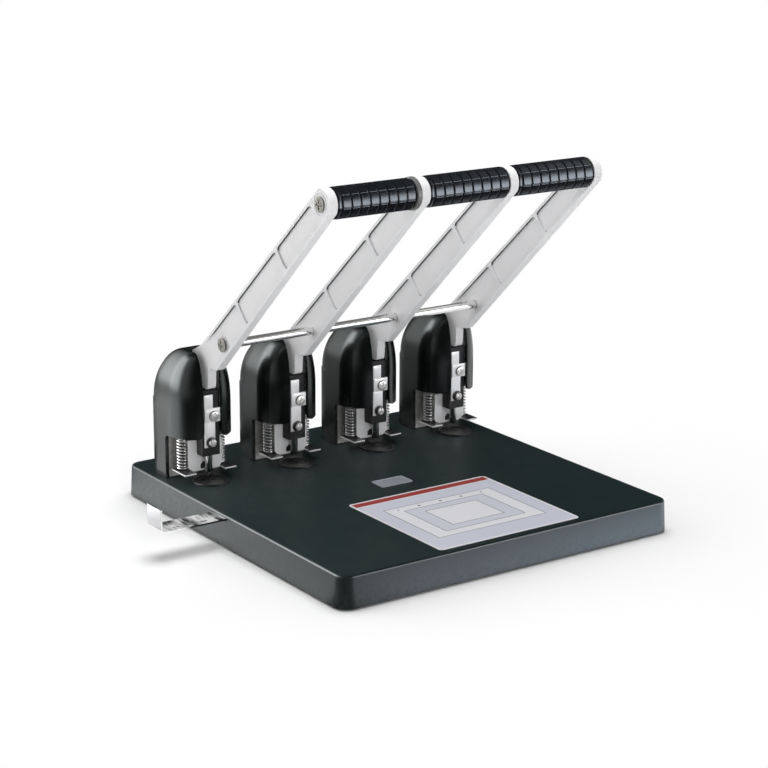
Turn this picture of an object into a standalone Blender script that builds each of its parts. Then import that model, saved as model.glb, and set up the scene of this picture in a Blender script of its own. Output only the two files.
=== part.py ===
# Four-hole punch: a wide base with four punch heads in a row and one lever across them.
# Units are metres. X runs along the row of heads, Y to the back, Z up from the table.
# The origin lies on the table, under the middle of everything that stands there.

import math

import bmesh
import bpy
from mathutils import Matrix, Vector

# Fits
FIT = 0.0003  # gap that neighbouring pieces keep
WELD = 0.00001  # points closer than this become one
OVERRUN = 0.004  # how far a cutting shape passes the face that it opens
STROKE_SPARE = 0.0004  # gap left between moving pieces at the end of a stroke

# The row of heads
HEAD_COUNT = 4
HEAD_PITCH = 0.080

# Base
LEFT_MARGIN = 0.0346  # first punch axis to the side wall at the bottom
RIGHT_MARGIN = 0.0319
FRONT_MARGIN = 0.2385  # punch axis to the front wall at the bottom
BACK_MARGIN = 0.0792
BASE_HEIGHT = 0.0247
BASE_DRAFT = 0.00135  # how far each wall leans in from bottom to top
BASE_CORNER = 0.0115
BASE_EDGE = 0.0016  # rounding along the edge of the deck
BASE_WALL = 0.0028
DECK_THICK = 0.0019
CORNER_STEPS = 4

# Bottom cover and feet
FOOT_STAND = 0.0013  # how far the shell hangs above the table
FOOT_RADIUS = 0.0090
FOOT_INSET = 0.0220  # foot axis from the walls
FOOT_EDGE_SHARE = 0.33  # chamfer of a foot's rim as a share of its height
COVER_THICK = 0.0020
COVER_SET_IN = 0.0010  # from the shell's lower rim up to the cover
COVER_GAP = 0.0004
BOSS_RADIUS = 0.0050

# Cutting discs and their cups
DISC_RADIUS = 0.0146
DISC_PROUD = 0.0010  # height over the deck
DISC_DEPTH = 0.0036  # part below the deck
DISC_EDGE = 0.0004  # chamfer of the rim and depth of the recess
DISC_RECESS_RADIUS = 0.0092
CUP_WALL = 0.0026
CUP_FLOOR = 0.0016

# Hood
HOOD_HALF = 0.0266  # half its width
HOOD_FRONT = 0.0057  # in front of the punch axis
HOOD_BACK = 0.0625  # behind the punch axis
HOOD_DOME_DROP = 0.0248  # from the pivot's axis down to where the dome starts
HOOD_OVER_PIVOT = 0.0173  # from the pivot's axis up to the crown
HOOD_SIDE_IN = 0.0186  # how far the dome draws the sides in
HOOD_FRONT_IN = 0.0101
HOOD_BACK_IN = 0.0425
HOOD_BACK_ROUND = 0.0294  # corner radius at the back, wherever the width allows it
HOOD_SMALL_ROUND = 0.0022  # least corner radius near the top
HOOD_WALL = 0.0023
HOOD_STEP = 0.0006  # the skirt stands out by this much
HOOD_SLOT_LEFT = 0.0085
HOOD_SLOT_RIGHT = 0.0085
HOOD_SLOT_BACK = 0.0212  # where the slot ends behind the punch axis
HOOD_LIP = 0.0363  # height over the deck of the front's lower edge
HOOD_MOUTH_BACK = 0.0258  # where the open lower front ends
HOOD_QUARTER_STEPS = 5
DOME_RINGS = 5

# Frame inside the hood
SHEET = 0.0015  # thickness of the plated steel
WALL_FRONT = 0.0262  # front face of the upright wall
WALL_CLEAR = 0.0013  # from the hood's inner side to the wall's edge
WALL_OVERLAP = 0.0125  # how far the wall stands up between the cheeks' lower ends
WALL_FOOT_DEPTH = 0.0150
CHEEK_HALF_GAP = 0.0086  # inner faces of the two cheeks
CHEEK_FRONT = 0.0010
CHEEK_CLEAR = 0.0035  # from the yoke at rest to the cheeks' lower edge
CHEEK_ROUND = 0.0085

# Lever geometry: heights with DROP or RISE are counted from the pivot's axis
PIVOT_BACK = 0.0135  # behind the punch axis
PIVOT_HEIGHT = 0.0873  # over the deck
PIVOT_RADIUS = 0.0030
PIVOT_HEAD_RADIUS = 0.0045
PIVOT_HEAD = 0.0016
SWING_DEGREES = 35.0
HUB_FORWARD = 0.1645
HUB_RISE = 0.1615
HUB_RADIUS = 0.0115
ARM_THICK = 0.0072
ARM_BACK_TOP = 0.0088  # hub axis to the back edge at the top
ARM_FRONT_TOP = 0.0111  # hub axis to the front edge at the top
CORNER_BACK = 0.0028  # corner where the back edge turns into the tail
CORNER_RISE = 0.0222
TAIL_BACK = 0.0199
TAIL_RISE = 0.0159
TAIL_RADIUS = 0.0098  # round the pivot
NOSE_RADIUS = 0.0035
NOSE_DROP = 0.0080
NOSE_FORWARD = 0.0000
BEND_FORWARD = 0.0045  # top of the nose's front face
BEND_RISE = 0.0067
CHIN_FORWARD = 0.0168  # front edge meets the underside
CHIN_RISE = 0.0076
PANEL_DEPTH = 0.0006
PANEL_MARGIN = 0.0024
PANEL_RIB = 0.0026
PANEL_START = 0.0150  # from the hub's axis along the arm
PANEL_RIB_SHARES = (0.306, 0.684)  # where the two ribs cross the panel
PANEL_STOP = 0.0142  # from the panels' lower end to where the arm meets its foot

# Handle bar, grips and link rod
BAR_RADIUS = 0.0050
GRIP_RADIUS = 0.0122
GRIP_EDGE = 0.0010
COLLAR_LENGTH = 0.0040
SCREW_RADIUS = 0.0056
SCREW_DOME = 0.0014
SCREW_CROWN_SHARE = 0.70  # flat top's radius of the screw's radius
SCREW_SLOT_WIDTH = 0.0013
SCREW_SLOT_SHARE = 0.62  # cross length of the screw's diameter
SCREW_SLOT_DEPTH = 0.0008
ROD_FORWARD = 0.0265
ROD_RISE = 0.0300
ROD_RADIUS = 0.0034

# Ram, clamp and pin
RAM_HALF = 0.0079
RAM_FRONT = 0.0008
RAM_BACK = 0.0083
RAM_BOTTOM = 0.0213
NOSE_GAP = 0.0011  # from the ram's top to the nose at rest
YOKE_CLEAR = 0.0027  # from the hood's inner side to the yoke's end
YOKE_FRONT = 0.0113
YOKE_BACK = 0.0206
YOKE_BOTTOM = 0.0360
YOKE_TOP = 0.0440
YOKE_BRIDGE = 0.0398  # underside of the bridge to the ram
PIN_RADIUS = 0.0030
PIN_BORE = 0.0021
PIN_BORE_DEPTH = 0.0180
PIN_BACK = 0.0040
PIN_TOP = 0.0330
CLAMP_LEFT = 0.0066
CLAMP_BLOCK_RIGHT = 0.0070
CLAMP_STRIP_RIGHT = 0.0030
CLAMP_TOP_RIGHT = 0.0012
CLAMP_THICK = 0.0012
CLAMP_BLOCK_THICK = 0.0022
CLAMP_TOP_DROP = 0.0034  # from the ram's top to the upper strip's end
CLAMP_BLOCK_DROP = 0.0144  # from the ram's top to the block
CLAMP_BLOCK_HEIGHT = 0.0111
CLAMP_FOOT = 0.0072  # from the ram's lower end up to the clamp's
CLAMP_SCREW_RADIUS = 0.0046
CLAMP_SCREW_PROUD = 0.0013
CLAMP_SCREW_X = 0.0007
CLAMP_HEAD_SHARES = ((1.0, 0.0), (1.0, 0.35), (0.72, 0.85))  # head profile in radius and height
CLAMP_SCREW_DROP = 0.0208
CLAMP_BOLT_RADIUS = 0.0043
CLAMP_BOLT_PROUD = 0.0042
CLAMP_BOLT_RISE = 0.0108

# Stripper
STRIP_HALF = 0.0235
STRIP_FRONT = 0.0004
STRIP_BACK = 0.0217
STRIP_BOTTOM = 0.0073
STRIP_THICK = 0.0013
STRIP_NOTCH_HALF = 0.0130
STRIP_TONGUE_HALF = 0.0105
WEB_FRONT = 0.0094
WEB_HALF = 0.0150
WEB_TOP = 0.0330
WEB_CHAMFER = 0.0030
WEB_NOTCH_HALF = 0.0042
WEB_NOTCH_TOP = 0.0140
WEB_NOTCH_STEP = 0.0020

# Springs
SPRING_X = 0.0171
SPRING_BACK = 0.0160
SPRING_RADIUS = 0.0039  # to the middle of the wire
WIRE_RADIUS = 0.00065
SPRING_CURLS = 9
CURL_POINTS = 8
POST_RADIUS = 0.0024

# Paper guide
GUIDE_REACH = 0.0548  # side wall at the bottom to the flange's outer face
GUIDE_BACK = -0.0690  # middle of the strip from the punch axis
GUIDE_WIDTH = 0.0205
GUIDE_THICK = 0.0014
GUIDE_FLANGE = 0.0185
GUIDE_BEND = 0.0020
GUIDE_INSIDE = 0.0960  # length of strip inside the base
GUIDE_STEP_IN = 0.0020  # notches along the strip's front edge
GUIDE_NOTCH_WIDTH = 0.0060
GUIDE_NOTCH_PITCH = 0.0120
GUIDE_NOTCHES = 4
RAIL_LENGTH = 0.0800
RAIL_WALL = 0.0020
RAIL_LIP = 0.0030

# Plates on the deck
PLATE_WIDTH = 0.0293
PLATE_DEPTH = 0.0164
PLATE_THICK = 0.0008
PLATE_CORNER = 0.0012
PLATE_RIGHT = 0.1167  # first punch axis to the plate's middle
PLATE_FORWARD = 0.0825
LABEL_WIDTH = 0.1300
LABEL_DEPTH = 0.1205
LABEL_THICK = 0.0004
LABEL_CORNER = 0.0030
LABEL_RIGHT = 0.1205
LABEL_FORWARD = 0.17125

# Places worked out from the sizes above
ROW = HEAD_PITCH * (HEAD_COUNT - 1)
RIGHT = (ROW + LEFT_MARGIN + RIGHT_MARGIN + GUIDE_REACH) / 2
LEFT = RIGHT - ROW - LEFT_MARGIN - RIGHT_MARGIN
FRONT = -(FRONT_MARGIN + BACK_MARGIN) / 2
BACK = -FRONT
FIRST_X = LEFT + LEFT_MARGIN
AXIS_Y = FRONT + FRONT_MARGIN
DECK_Z = FOOT_STAND + BASE_HEIGHT
HEADS = [FIRST_X + HEAD_PITCH * n for n in range(HEAD_COUNT)]
HOOD_SHOULDER = PIVOT_HEIGHT - HOOD_DOME_DROP
HOOD_TOP = PIVOT_HEIGHT + HOOD_OVER_PIVOT
WALL_HALF = HOOD_HALF - HOOD_WALL - WALL_CLEAR
YOKE_HALF = HOOD_HALF - HOOD_WALL - YOKE_CLEAR
CHEEK_BOTTOM = YOKE_TOP + CHEEK_CLEAR
WALL_TOP = CHEEK_BOTTOM + WALL_OVERLAP
HUB_HEIGHT = PIVOT_HEIGHT + HUB_RISE
CORNER_HEIGHT = PIVOT_HEIGHT + CORNER_RISE
TAIL_HEIGHT = PIVOT_HEIGHT + TAIL_RISE
NOSE_HEIGHT = PIVOT_HEIGHT - NOSE_DROP
BEND_HEIGHT = PIVOT_HEIGHT + BEND_RISE
CHIN_HEIGHT = PIVOT_HEIGHT + CHIN_RISE
ROD_HEIGHT = PIVOT_HEIGHT + ROD_RISE
SWING = math.radians(SWING_DEGREES)
NOSE_DESCENT = (PIVOT_BACK + NOSE_FORWARD) * math.sin(SWING) - NOSE_DROP * (1 - math.cos(SWING))
RAM_STROKE = NOSE_DESCENT - STROKE_SPARE
RAM_TOP = NOSE_HEIGHT - NOSE_RADIUS - NOSE_GAP
CLAMP_TOP = RAM_TOP - CLAMP_TOP_DROP
CLAMP_BLOCK_TOP = RAM_TOP - CLAMP_BLOCK_DROP
CLAMP_BLOCK_BOTTOM = CLAMP_BLOCK_TOP - CLAMP_BLOCK_HEIGHT
CLAMP_BOTTOM = RAM_BOTTOM + CLAMP_FOOT
CLAMP_SCREW_HEIGHT = RAM_TOP - CLAMP_SCREW_DROP
CLAMP_BOLT_HEIGHT = RAM_BOTTOM + CLAMP_BOLT_RISE
PIN_END = DISC_PROUD + RAM_STROKE + STROKE_SPARE
ARM_HALF = ARM_THICK / 2
UP = Vector((0, 0, 1))


def clear_scene():
    for thing in list(bpy.data.objects):
        bpy.data.objects.remove(thing, do_unlink=True)
    for mesh in list(bpy.data.meshes):
        bpy.data.meshes.remove(mesh)


def paint(name, colour, roughness, metallic=0.0):
    made = bpy.data.materials.new(name)
    made.use_nodes = True
    surface = made.node_tree.nodes["Principled BSDF"]
    surface.inputs["Base Color"].default_value = (*colour, 1.0)
    surface.inputs["Roughness"].default_value = roughness
    surface.inputs["Metallic"].default_value = metallic
    made.diffuse_color = (*colour, 1.0)
    return made


def finish_mesh(bm, name, smooth_degrees=0.0):
    """Turns a bmesh into a mesh with its faces out and its round sides smooth."""
    bmesh.ops.recalc_face_normals(bm, faces=bm.faces)
    mesh = bpy.data.meshes.new(name)
    bm.to_mesh(mesh)
    bm.free()
    if smooth_degrees:
        mesh.shade_smooth()
        mesh.set_sharp_from_angle(angle=math.radians(smooth_degrees))
    return mesh


def place(name, mesh, material, location=(0, 0, 0), parent=None):
    """Adds one named piece; under a parent its location is counted from there."""
    thing = bpy.data.objects.new(name, mesh)
    bpy.context.collection.objects.link(thing)
    thing.location = location
    if parent is not None:
        thing.parent = parent
        thing.location = Vector(location) - parent.location
    if not mesh.materials:
        mesh.materials.append(material)
    return thing


def box(low, high):
    bm = bmesh.new()
    bmesh.ops.create_cube(bm, size=1)
    size = Vector(high) - Vector(low)
    middle = (Vector(high) + Vector(low)) / 2
    bmesh.ops.transform(bm, matrix=Matrix.Translation(middle) @ Matrix.Diagonal((*size, 1)), verts=bm.verts)
    return finish_mesh(bm, "box")


def prism(outline, axis, low, high, smooth_degrees=0.0):
    """Pushes an outline straight along X, Y or Z from low to high."""
    bm = bmesh.new()
    spots = {"X": lambda a, b: (low, a, b), "Y": lambda a, b: (a, low, b), "Z": lambda a, b: (a, b, low)}
    face = bm.faces.new([bm.verts.new(spots[axis](a, b)) for a, b in outline])
    along = {"X": Vector((1, 0, 0)), "Y": Vector((0, 1, 0)), "Z": UP}[axis] * (high - low)
    pushed = bmesh.ops.extrude_face_region(bm, geom=[face])
    moved = [v for v in pushed["geom"] if isinstance(v, bmesh.types.BMVert)]
    bmesh.ops.translate(bm, verts=moved, vec=along)
    return finish_mesh(bm, "prism", smooth_degrees)


def loft(rings, smooth_degrees=0.0):
    """Joins rings with the same number of points into one closed skin."""
    bm = bmesh.new()
    rows = [[bm.verts.new(p) for p in ring] for ring in rings]
    count = len(rings[0])
    for lower, upper in zip(rows, rows[1:]):
        for n in range(count):
            m = (n + 1) % count
            bm.faces.new((lower[n], lower[m], upper[m], upper[n]))
    bm.faces.new(rows[0])
    bm.faces.new(rows[-1])
    bmesh.ops.remove_doubles(bm, verts=bm.verts, dist=WELD)
    return finish_mesh(bm, "loft", smooth_degrees)


def turned(profile, axis, steps=24, smooth_degrees=40.0):
    """Turns (radius, place) points about X, Y or Z; the profile starts and ends on the axis."""
    bm = bmesh.new()
    verts = [bm.verts.new((radius, 0, place)) for radius, place in profile]
    edges = [bm.edges.new(pair) for pair in zip(verts, verts[1:])]
    bmesh.ops.spin(bm, geom=verts + edges, cent=(0, 0, 0), axis=UP, angle=math.tau, steps=steps)
    bmesh.ops.remove_doubles(bm, verts=bm.verts, dist=WELD)
    if axis == "X":
        bmesh.ops.rotate(bm, matrix=Matrix.Rotation(math.pi / 2, 3, "Y"), verts=bm.verts)
    if axis == "Y":
        bmesh.ops.rotate(bm, matrix=Matrix.Rotation(-math.pi / 2, 3, "X"), verts=bm.verts)
    return finish_mesh(bm, "turned", smooth_degrees)


def rounded(low_x, high_x, low_y, high_y, radius, steps):
    """Outline of a rectangle with round corners, counted anticlockwise."""
    points = []
    corners = (
        (high_x - radius, high_y - radius, 0.0),
        (low_x + radius, high_y - radius, math.pi / 2),
        (low_x + radius, low_y + radius, math.pi),
        (high_x - radius, low_y + radius, math.pi * 1.5),
    )
    for x, y, start in corners:
        for n in range(steps + 1):
            angle = start + math.pi / 2 * n / steps
            points.append((x + radius * math.cos(angle), y + radius * math.sin(angle)))
    return points


def shifted(mesh, offset):
    mesh.transform(Matrix.Translation(offset))
    return mesh


def shaped(mesh, steps, smooth_degrees=0.0):
    """Joins or cuts a mesh with others, one after another, and returns the new mesh."""
    body = bpy.data.objects.new("shaping", mesh)
    bpy.context.collection.objects.link(body)
    tools = []
    for operation, tool_mesh in steps:
        tool = bpy.data.objects.new("tool", tool_mesh)
        bpy.context.collection.objects.link(tool)
        tool.hide_render = True
        tool.display_type = "WIRE"
        tools.append(tool)
        change = body.modifiers.new("shape", "BOOLEAN")
        change.operation = operation
        change.solver = "EXACT"
        change.object = tool
    bpy.context.view_layer.update()
    seen = body.evaluated_get(bpy.context.evaluated_depsgraph_get())
    made = bpy.data.meshes.new_from_object(seen)
    for thing in [body, *tools]:
        bpy.data.objects.remove(thing, do_unlink=True)
    bm = bmesh.new()
    bm.from_mesh(made)
    bmesh.ops.dissolve_limit(bm, angle_limit=math.radians(0.05), verts=bm.verts, edges=bm.edges)
    bm.to_mesh(made)
    bm.free()
    made.materials.clear()
    if smooth_degrees:
        made.shade_smooth()
        made.set_sharp_from_angle(angle=math.radians(smooth_degrees))
    return made


def arc(centre, radius, start, end, steps):
    """Points on a circle from one angle to another, in degrees."""
    turn = [math.radians(start + (end - start) * n / steps) for n in range(steps + 1)]
    return [(centre[0] + radius * math.cos(t), centre[1] + radius * math.sin(t)) for t in turn]


# Base

def base_ring(inset, z):
    radius = BASE_CORNER - inset
    return [(x, y, z) for x, y in
            rounded(LEFT + inset, RIGHT - inset, FRONT + inset, BACK - inset, radius, CORNER_STEPS)]


def base_shell_mesh():
    edge_z = DECK_Z - BASE_EDGE
    slope = BASE_DRAFT / BASE_HEIGHT
    lean = slope * (BASE_HEIGHT - BASE_EDGE)
    turn = [math.radians(a) for a in (30.0, 60.0, 90.0)]
    rings = [base_ring(BASE_WALL, FOOT_STAND), base_ring(0, FOOT_STAND), base_ring(lean, edge_z)]
    for t in turn:
        rings.append(base_ring(lean + BASE_EDGE * (1 - math.cos(t)), edge_z + BASE_EDGE * math.sin(t)))
    under = DECK_Z - DECK_THICK
    inner_top = base_ring(BASE_WALL + slope * (under - FOOT_STAND), under)
    bm = bmesh.new()
    rows = [[bm.verts.new(p) for p in ring] for ring in [inner_top, *rings]]
    count = len(inner_top)
    for lower, upper in zip(rows, rows[1:]):
        for n in range(count):
            m = (n + 1) % count
            bm.faces.new((lower[n], lower[m], upper[m], upper[n]))
    bm.faces.new(rows[0])
    bm.faces.new(rows[-1])
    shell = finish_mesh(bm, "base_shell")

    steps = []
    cup_floor = DECK_Z - DISC_DEPTH - FIT - CUP_FLOOR
    cup_radius = DISC_RADIUS + FIT + CUP_WALL
    bore = DISC_RADIUS + FIT
    for x in HEADS:
        steps.append(("UNION", shifted(turned([(0, cup_floor), (cup_radius, cup_floor),
                                               (cup_radius, DECK_Z - DECK_THICK / 2),
                                               (0, DECK_Z - DECK_THICK / 2)], "Z", 16), (x, AXIS_Y, 0))))
    # Posts that the bottom cover is held by
    post_top = DECK_Z - DECK_THICK / 2
    post_low = FOOT_STAND + COVER_SET_IN + COVER_THICK + COVER_GAP
    for x, y in foot_places():
        steps.append(("UNION", shifted(turned([(0, post_low), (BOSS_RADIUS, post_low), (BOSS_RADIUS, post_top),
                                               (0, post_top)], "Z", 8), (x, y, 0))))
    # Rails that hold the paper guide under the deck
    middle = AXIS_Y + GUIDE_BACK
    half = GUIDE_WIDTH / 2 + FIT
    rail_low = under - FIT - GUIDE_THICK - FIT - RAIL_WALL
    rail_from = LEFT + BASE_WALL + slope * BASE_HEIGHT
    for side in (-1, 1):
        outer = middle + side * (half + RAIL_WALL)
        inner = middle + side * (half - RAIL_LIP)
        wall = middle + side * half
        section = [(outer, rail_low), (outer, post_top), (wall, post_top), (wall, rail_low + RAIL_WALL),
                   (inner, rail_low + RAIL_WALL), (inner, rail_low)]
        steps.append(("UNION", prism(section, "X", rail_from, rail_from + RAIL_LENGTH)))
    for x in HEADS:
        steps.append(("DIFFERENCE", shifted(turned([(0, DECK_Z - DISC_DEPTH - FIT), (bore, DECK_Z - DISC_DEPTH - FIT),
                                                    (bore, DECK_Z + OVERRUN), (0, DECK_Z + OVERRUN)], "Z", 20),
                                            (x, AXIS_Y, 0))))
    slot_low = under - FIT - GUIDE_THICK - FIT
    steps.append(("DIFFERENCE", box((LEFT - OVERRUN, middle - half, slot_low),
                                    (rail_from + OVERRUN, middle + half, under))))
    return shaped(shell, steps, 35.0)


def foot_places():
    return [(x, y) for y in (FRONT + FOOT_INSET, BACK - FOOT_INSET) for x in (LEFT + FOOT_INSET, RIGHT - FOOT_INSET)]


def cover_mesh():
    inset = BASE_WALL + COVER_GAP + BASE_DRAFT / BASE_HEIGHT * (COVER_SET_IN + COVER_THICK)
    outline = rounded(LEFT + inset, RIGHT - inset, FRONT + inset, BACK - inset, BASE_CORNER - inset, CORNER_STEPS)
    low = FOOT_STAND + COVER_SET_IN
    return prism(outline, "Z", low, low + COVER_THICK)


def foot_mesh():
    top = FOOT_STAND + COVER_SET_IN - FIT
    edge = top * FOOT_EDGE_SHARE
    return turned([(0, 0), (FOOT_RADIUS - edge, 0), (FOOT_RADIUS, edge), (FOOT_RADIUS, top), (0, top)], "Z", 16)


def disc_mesh():
    """Flat cutting disc with a shallow recess in the middle."""
    top = DISC_PROUD
    low = -DISC_DEPTH
    edge = DISC_EDGE
    return turned([(0, low), (DISC_RADIUS, low), (DISC_RADIUS, top - edge), (DISC_RADIUS - edge, top),
                   (DISC_RECESS_RADIUS, top), (DISC_RECESS_RADIUS - edge, top - edge), (0, top - edge)], "Z", 20)


def plate_mesh(width, depth, thick, corner):
    outline = rounded(-width / 2, width / 2, -depth / 2, depth / 2, corner, 3)
    return prism(outline, "Z", FIT, FIT + thick)


# Hood, counted from the punch axis and the deck

def hood_ring(height, inset):
    """Outline of the hood at one height, drawn in by the dome and by the wall."""
    rise = max(0.0, min(1.0, (height - HOOD_SHOULDER) / (HOOD_TOP - HOOD_SHOULDER)))
    draw = 1 - math.sqrt(max(0.0, 1 - rise * rise))
    skirt = HOOD_STEP if height < HOOD_SHOULDER - HOOD_STEP else 0.0
    half = HOOD_HALF - HOOD_SIDE_IN * draw - inset + skirt
    front = -HOOD_FRONT + HOOD_FRONT_IN * draw + inset - skirt
    back = HOOD_BACK - HOOD_BACK_IN * draw - inset + skirt
    front_round = HOOD_HALF - inset - (HOOD_SIDE_IN + HOOD_FRONT_IN) * draw / 2
    back_round = HOOD_BACK_ROUND - inset - (HOOD_SIDE_IN + HOOD_BACK_IN) * draw / 2
    small = HOOD_SMALL_ROUND / 2
    front_round = min(half - FIT, max(small, front_round))
    back_round = min(half - FIT, max(small, back_round), back - front - front_round - FIT)
    points = []
    corners = ((half, back, back_round, 0.0), (-half, back, back_round, 0.5),
               (-half, front, front_round, 1.0), (half, front, front_round, 1.5))
    for x, y, radius, start_share in corners:
        cx = x - math.copysign(radius, x)
        cy = y - radius if y == back else y + radius
        for n in range(HOOD_QUARTER_STEPS + 1):
            angle = math.pi * (start_share + n / HOOD_QUARTER_STEPS / 2)
            spot = (cx + radius * math.cos(angle), cy + radius * math.sin(angle), height)
            points.append(spot)
    return points


def hood_mesh():
    dome = HOOD_TOP - HOOD_SHOULDER
    turn = [math.pi / 2 * (n + 1) / DOME_RINGS for n in range(DOME_RINGS)]
    heights = [HOOD_SHOULDER + dome * math.sin(t) for t in turn]
    outside = [hood_ring(FIT, 0), hood_ring(HOOD_SHOULDER - HOOD_STEP * 2, 0), hood_ring(HOOD_SHOULDER, 0)]
    outside += [hood_ring(h, 0) for h in heights]
    drop = (dome - HOOD_WALL) / dome
    inside = [hood_ring(-OVERRUN, HOOD_WALL), hood_ring(HOOD_SHOULDER, HOOD_WALL)]
    for h in heights:
        low = HOOD_SHOULDER + (h - HOOD_SHOULDER) * drop
        inside.append([(x, y, low) for x, y, z in hood_ring(h, HOOD_WALL)])
    slot = box((-HOOD_SLOT_LEFT, -HOOD_FRONT - OVERRUN, HOOD_LIP - OVERRUN),
               (HOOD_SLOT_RIGHT, HOOD_SLOT_BACK, HOOD_TOP + OVERRUN))
    wide = HOOD_HALF + OVERRUN
    mouth = box((-wide, -HOOD_FRONT - OVERRUN, -OVERRUN), (wide, HOOD_MOUTH_BACK, HOOD_LIP))
    return shaped(loft(outside), [("DIFFERENCE", loft(inside)), ("DIFFERENCE", slot), ("DIFFERENCE", mouth)], 40.0)


# Frame: an upright wall on a foot, with two cheeks that carry the pivot

def frame_mesh():
    back = WALL_FRONT + SHEET
    wall = box((-WALL_HALF, WALL_FRONT, FIT), (WALL_HALF, back, WALL_TOP))
    foot = box((-WALL_HALF + HOOD_WALL, WALL_FRONT, FIT), (WALL_HALF - HOOD_WALL, back + WALL_FOOT_DEPTH, FIT + SHEET))
    outer = CHEEK_HALF_GAP + SHEET
    neck = box((-outer, WALL_FRONT, CHEEK_BOTTOM), (outer, back, PIVOT_HEIGHT + TAIL_RADIUS / 2))
    cheek = [(CHEEK_FRONT, CHEEK_BOTTOM), (back, CHEEK_BOTTOM), (back, PIVOT_HEIGHT + TAIL_RADIUS / 2)]
    cheek += arc((PIVOT_BACK, PIVOT_HEIGHT), CHEEK_ROUND, 45.0, 135.0, 6)
    cheek += [(CHEEK_FRONT, PIVOT_HEIGHT - TAIL_RADIUS / 2)]
    hole = turned([(0, -outer - OVERRUN), (PIVOT_RADIUS + FIT, -outer - OVERRUN),
                   (PIVOT_RADIUS + FIT, outer + OVERRUN), (0, outer + OVERRUN)], "X", 12)
    shifted(hole, (0, PIVOT_BACK, PIVOT_HEIGHT))
    steps = [("UNION", foot), ("UNION", neck), ("UNION", prism(cheek, "X", CHEEK_HALF_GAP, outer)),
             ("UNION", prism(cheek, "X", -outer, -CHEEK_HALF_GAP)), ("DIFFERENCE", hole)]
    return shaped(wall, steps)


def pivot_mesh():
    """Rivet through both cheeks and the arm."""
    end = CHEEK_HALF_GAP + SHEET + FIT
    return turned([(0, -end - PIVOT_HEAD), (PIVOT_HEAD_RADIUS, -end - PIVOT_HEAD), (PIVOT_HEAD_RADIUS, -end),
                   (PIVOT_RADIUS, -end), (PIVOT_RADIUS, end), (PIVOT_HEAD_RADIUS, end),
                   (PIVOT_HEAD_RADIUS, end + PIVOT_HEAD), (0, end + PIVOT_HEAD)], "X", 12)


# Stripper: a plate with a notch, an upright web and two posts for the springs

def stripper_mesh():
    top = STRIP_BOTTOM + STRIP_THICK
    half = STRIP_HALF
    notch_back = WEB_FRONT
    reach = WALL_FRONT - FIT
    plate = [(-half, STRIP_FRONT), (-STRIP_NOTCH_HALF, STRIP_FRONT), (-STRIP_NOTCH_HALF, notch_back),
             (STRIP_NOTCH_HALF, notch_back), (STRIP_NOTCH_HALF, STRIP_FRONT), (half, STRIP_FRONT),
             (half, STRIP_BACK), (STRIP_TONGUE_HALF, STRIP_BACK), (STRIP_TONGUE_HALF, reach),
             (-STRIP_TONGUE_HALF, reach), (-STRIP_TONGUE_HALF, STRIP_BACK), (-half, STRIP_BACK)]
    low = STRIP_BOTTOM
    step = WEB_NOTCH_STEP
    web = [(-WEB_HALF, low + WEB_CHAMFER), (-WEB_HALF + WEB_CHAMFER, low), (-WEB_NOTCH_HALF, low),
           (-WEB_NOTCH_HALF, WEB_NOTCH_TOP - step), (-WEB_NOTCH_HALF + step, WEB_NOTCH_TOP),
           (WEB_NOTCH_HALF - step, WEB_NOTCH_TOP), (WEB_NOTCH_HALF, WEB_NOTCH_TOP - step), (WEB_NOTCH_HALF, low),
           (WEB_HALF - WEB_CHAMFER, low), (WEB_HALF, low + WEB_CHAMFER), (WEB_HALF, WEB_TOP), (-WEB_HALF, WEB_TOP)]
    post_top = YOKE_BOTTOM - RAM_STROKE - STROKE_SPARE
    steps = [("UNION", prism(web, "Y", WEB_FRONT, WEB_FRONT + STRIP_THICK))]
    for side in (-1, 1):
        post = turned([(0, low + STRIP_THICK / 2), (POST_RADIUS, low + STRIP_THICK / 2),
                       (POST_RADIUS, post_top), (0, post_top)], "Z", 10)
        steps.append(("UNION", shifted(post, (side * SPRING_X, SPRING_BACK, 0))))
    return shaped(prism(plate, "Z", low, top), steps, 40.0)


# Ram with the yoke that the springs push up

def ram_mesh():
    body = box((-RAM_HALF, -RAM_FRONT, RAM_BOTTOM), (RAM_HALF, RAM_BACK, RAM_TOP))
    bridge = box((-RAM_HALF, RAM_BACK - OVERRUN, YOKE_BRIDGE), (RAM_HALF, YOKE_FRONT + OVERRUN, YOKE_TOP))
    yoke = box((-YOKE_HALF, YOKE_FRONT, YOKE_BOTTOM), (YOKE_HALF, YOKE_BACK, YOKE_TOP))
    bore = PIN_RADIUS + FIT
    hole = shifted(turned([(0, RAM_BOTTOM - OVERRUN), (bore, RAM_BOTTOM - OVERRUN), (bore, PIN_TOP + FIT),
                           (0, PIN_TOP + FIT)], "Z", 12), (0, PIN_BACK, 0))
    return shaped(body, [("UNION", bridge), ("UNION", yoke), ("DIFFERENCE", hole)])


def pin_mesh():
    """Hollow punch pin; its bore is open at the cutting end."""
    return turned([(0, PIN_TOP), (PIN_RADIUS, PIN_TOP), (PIN_RADIUS, PIN_END), (PIN_BORE, PIN_END),
                   (PIN_BORE, PIN_END + PIN_BORE_DEPTH), (0, PIN_END + PIN_BORE_DEPTH)], "Z", 12)


def screw_profile(radius, proud):
    return [(0, 0)] + [(radius * across, proud * up) for across, up in CLAMP_HEAD_SHARES] + [(0, proud)]


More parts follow.
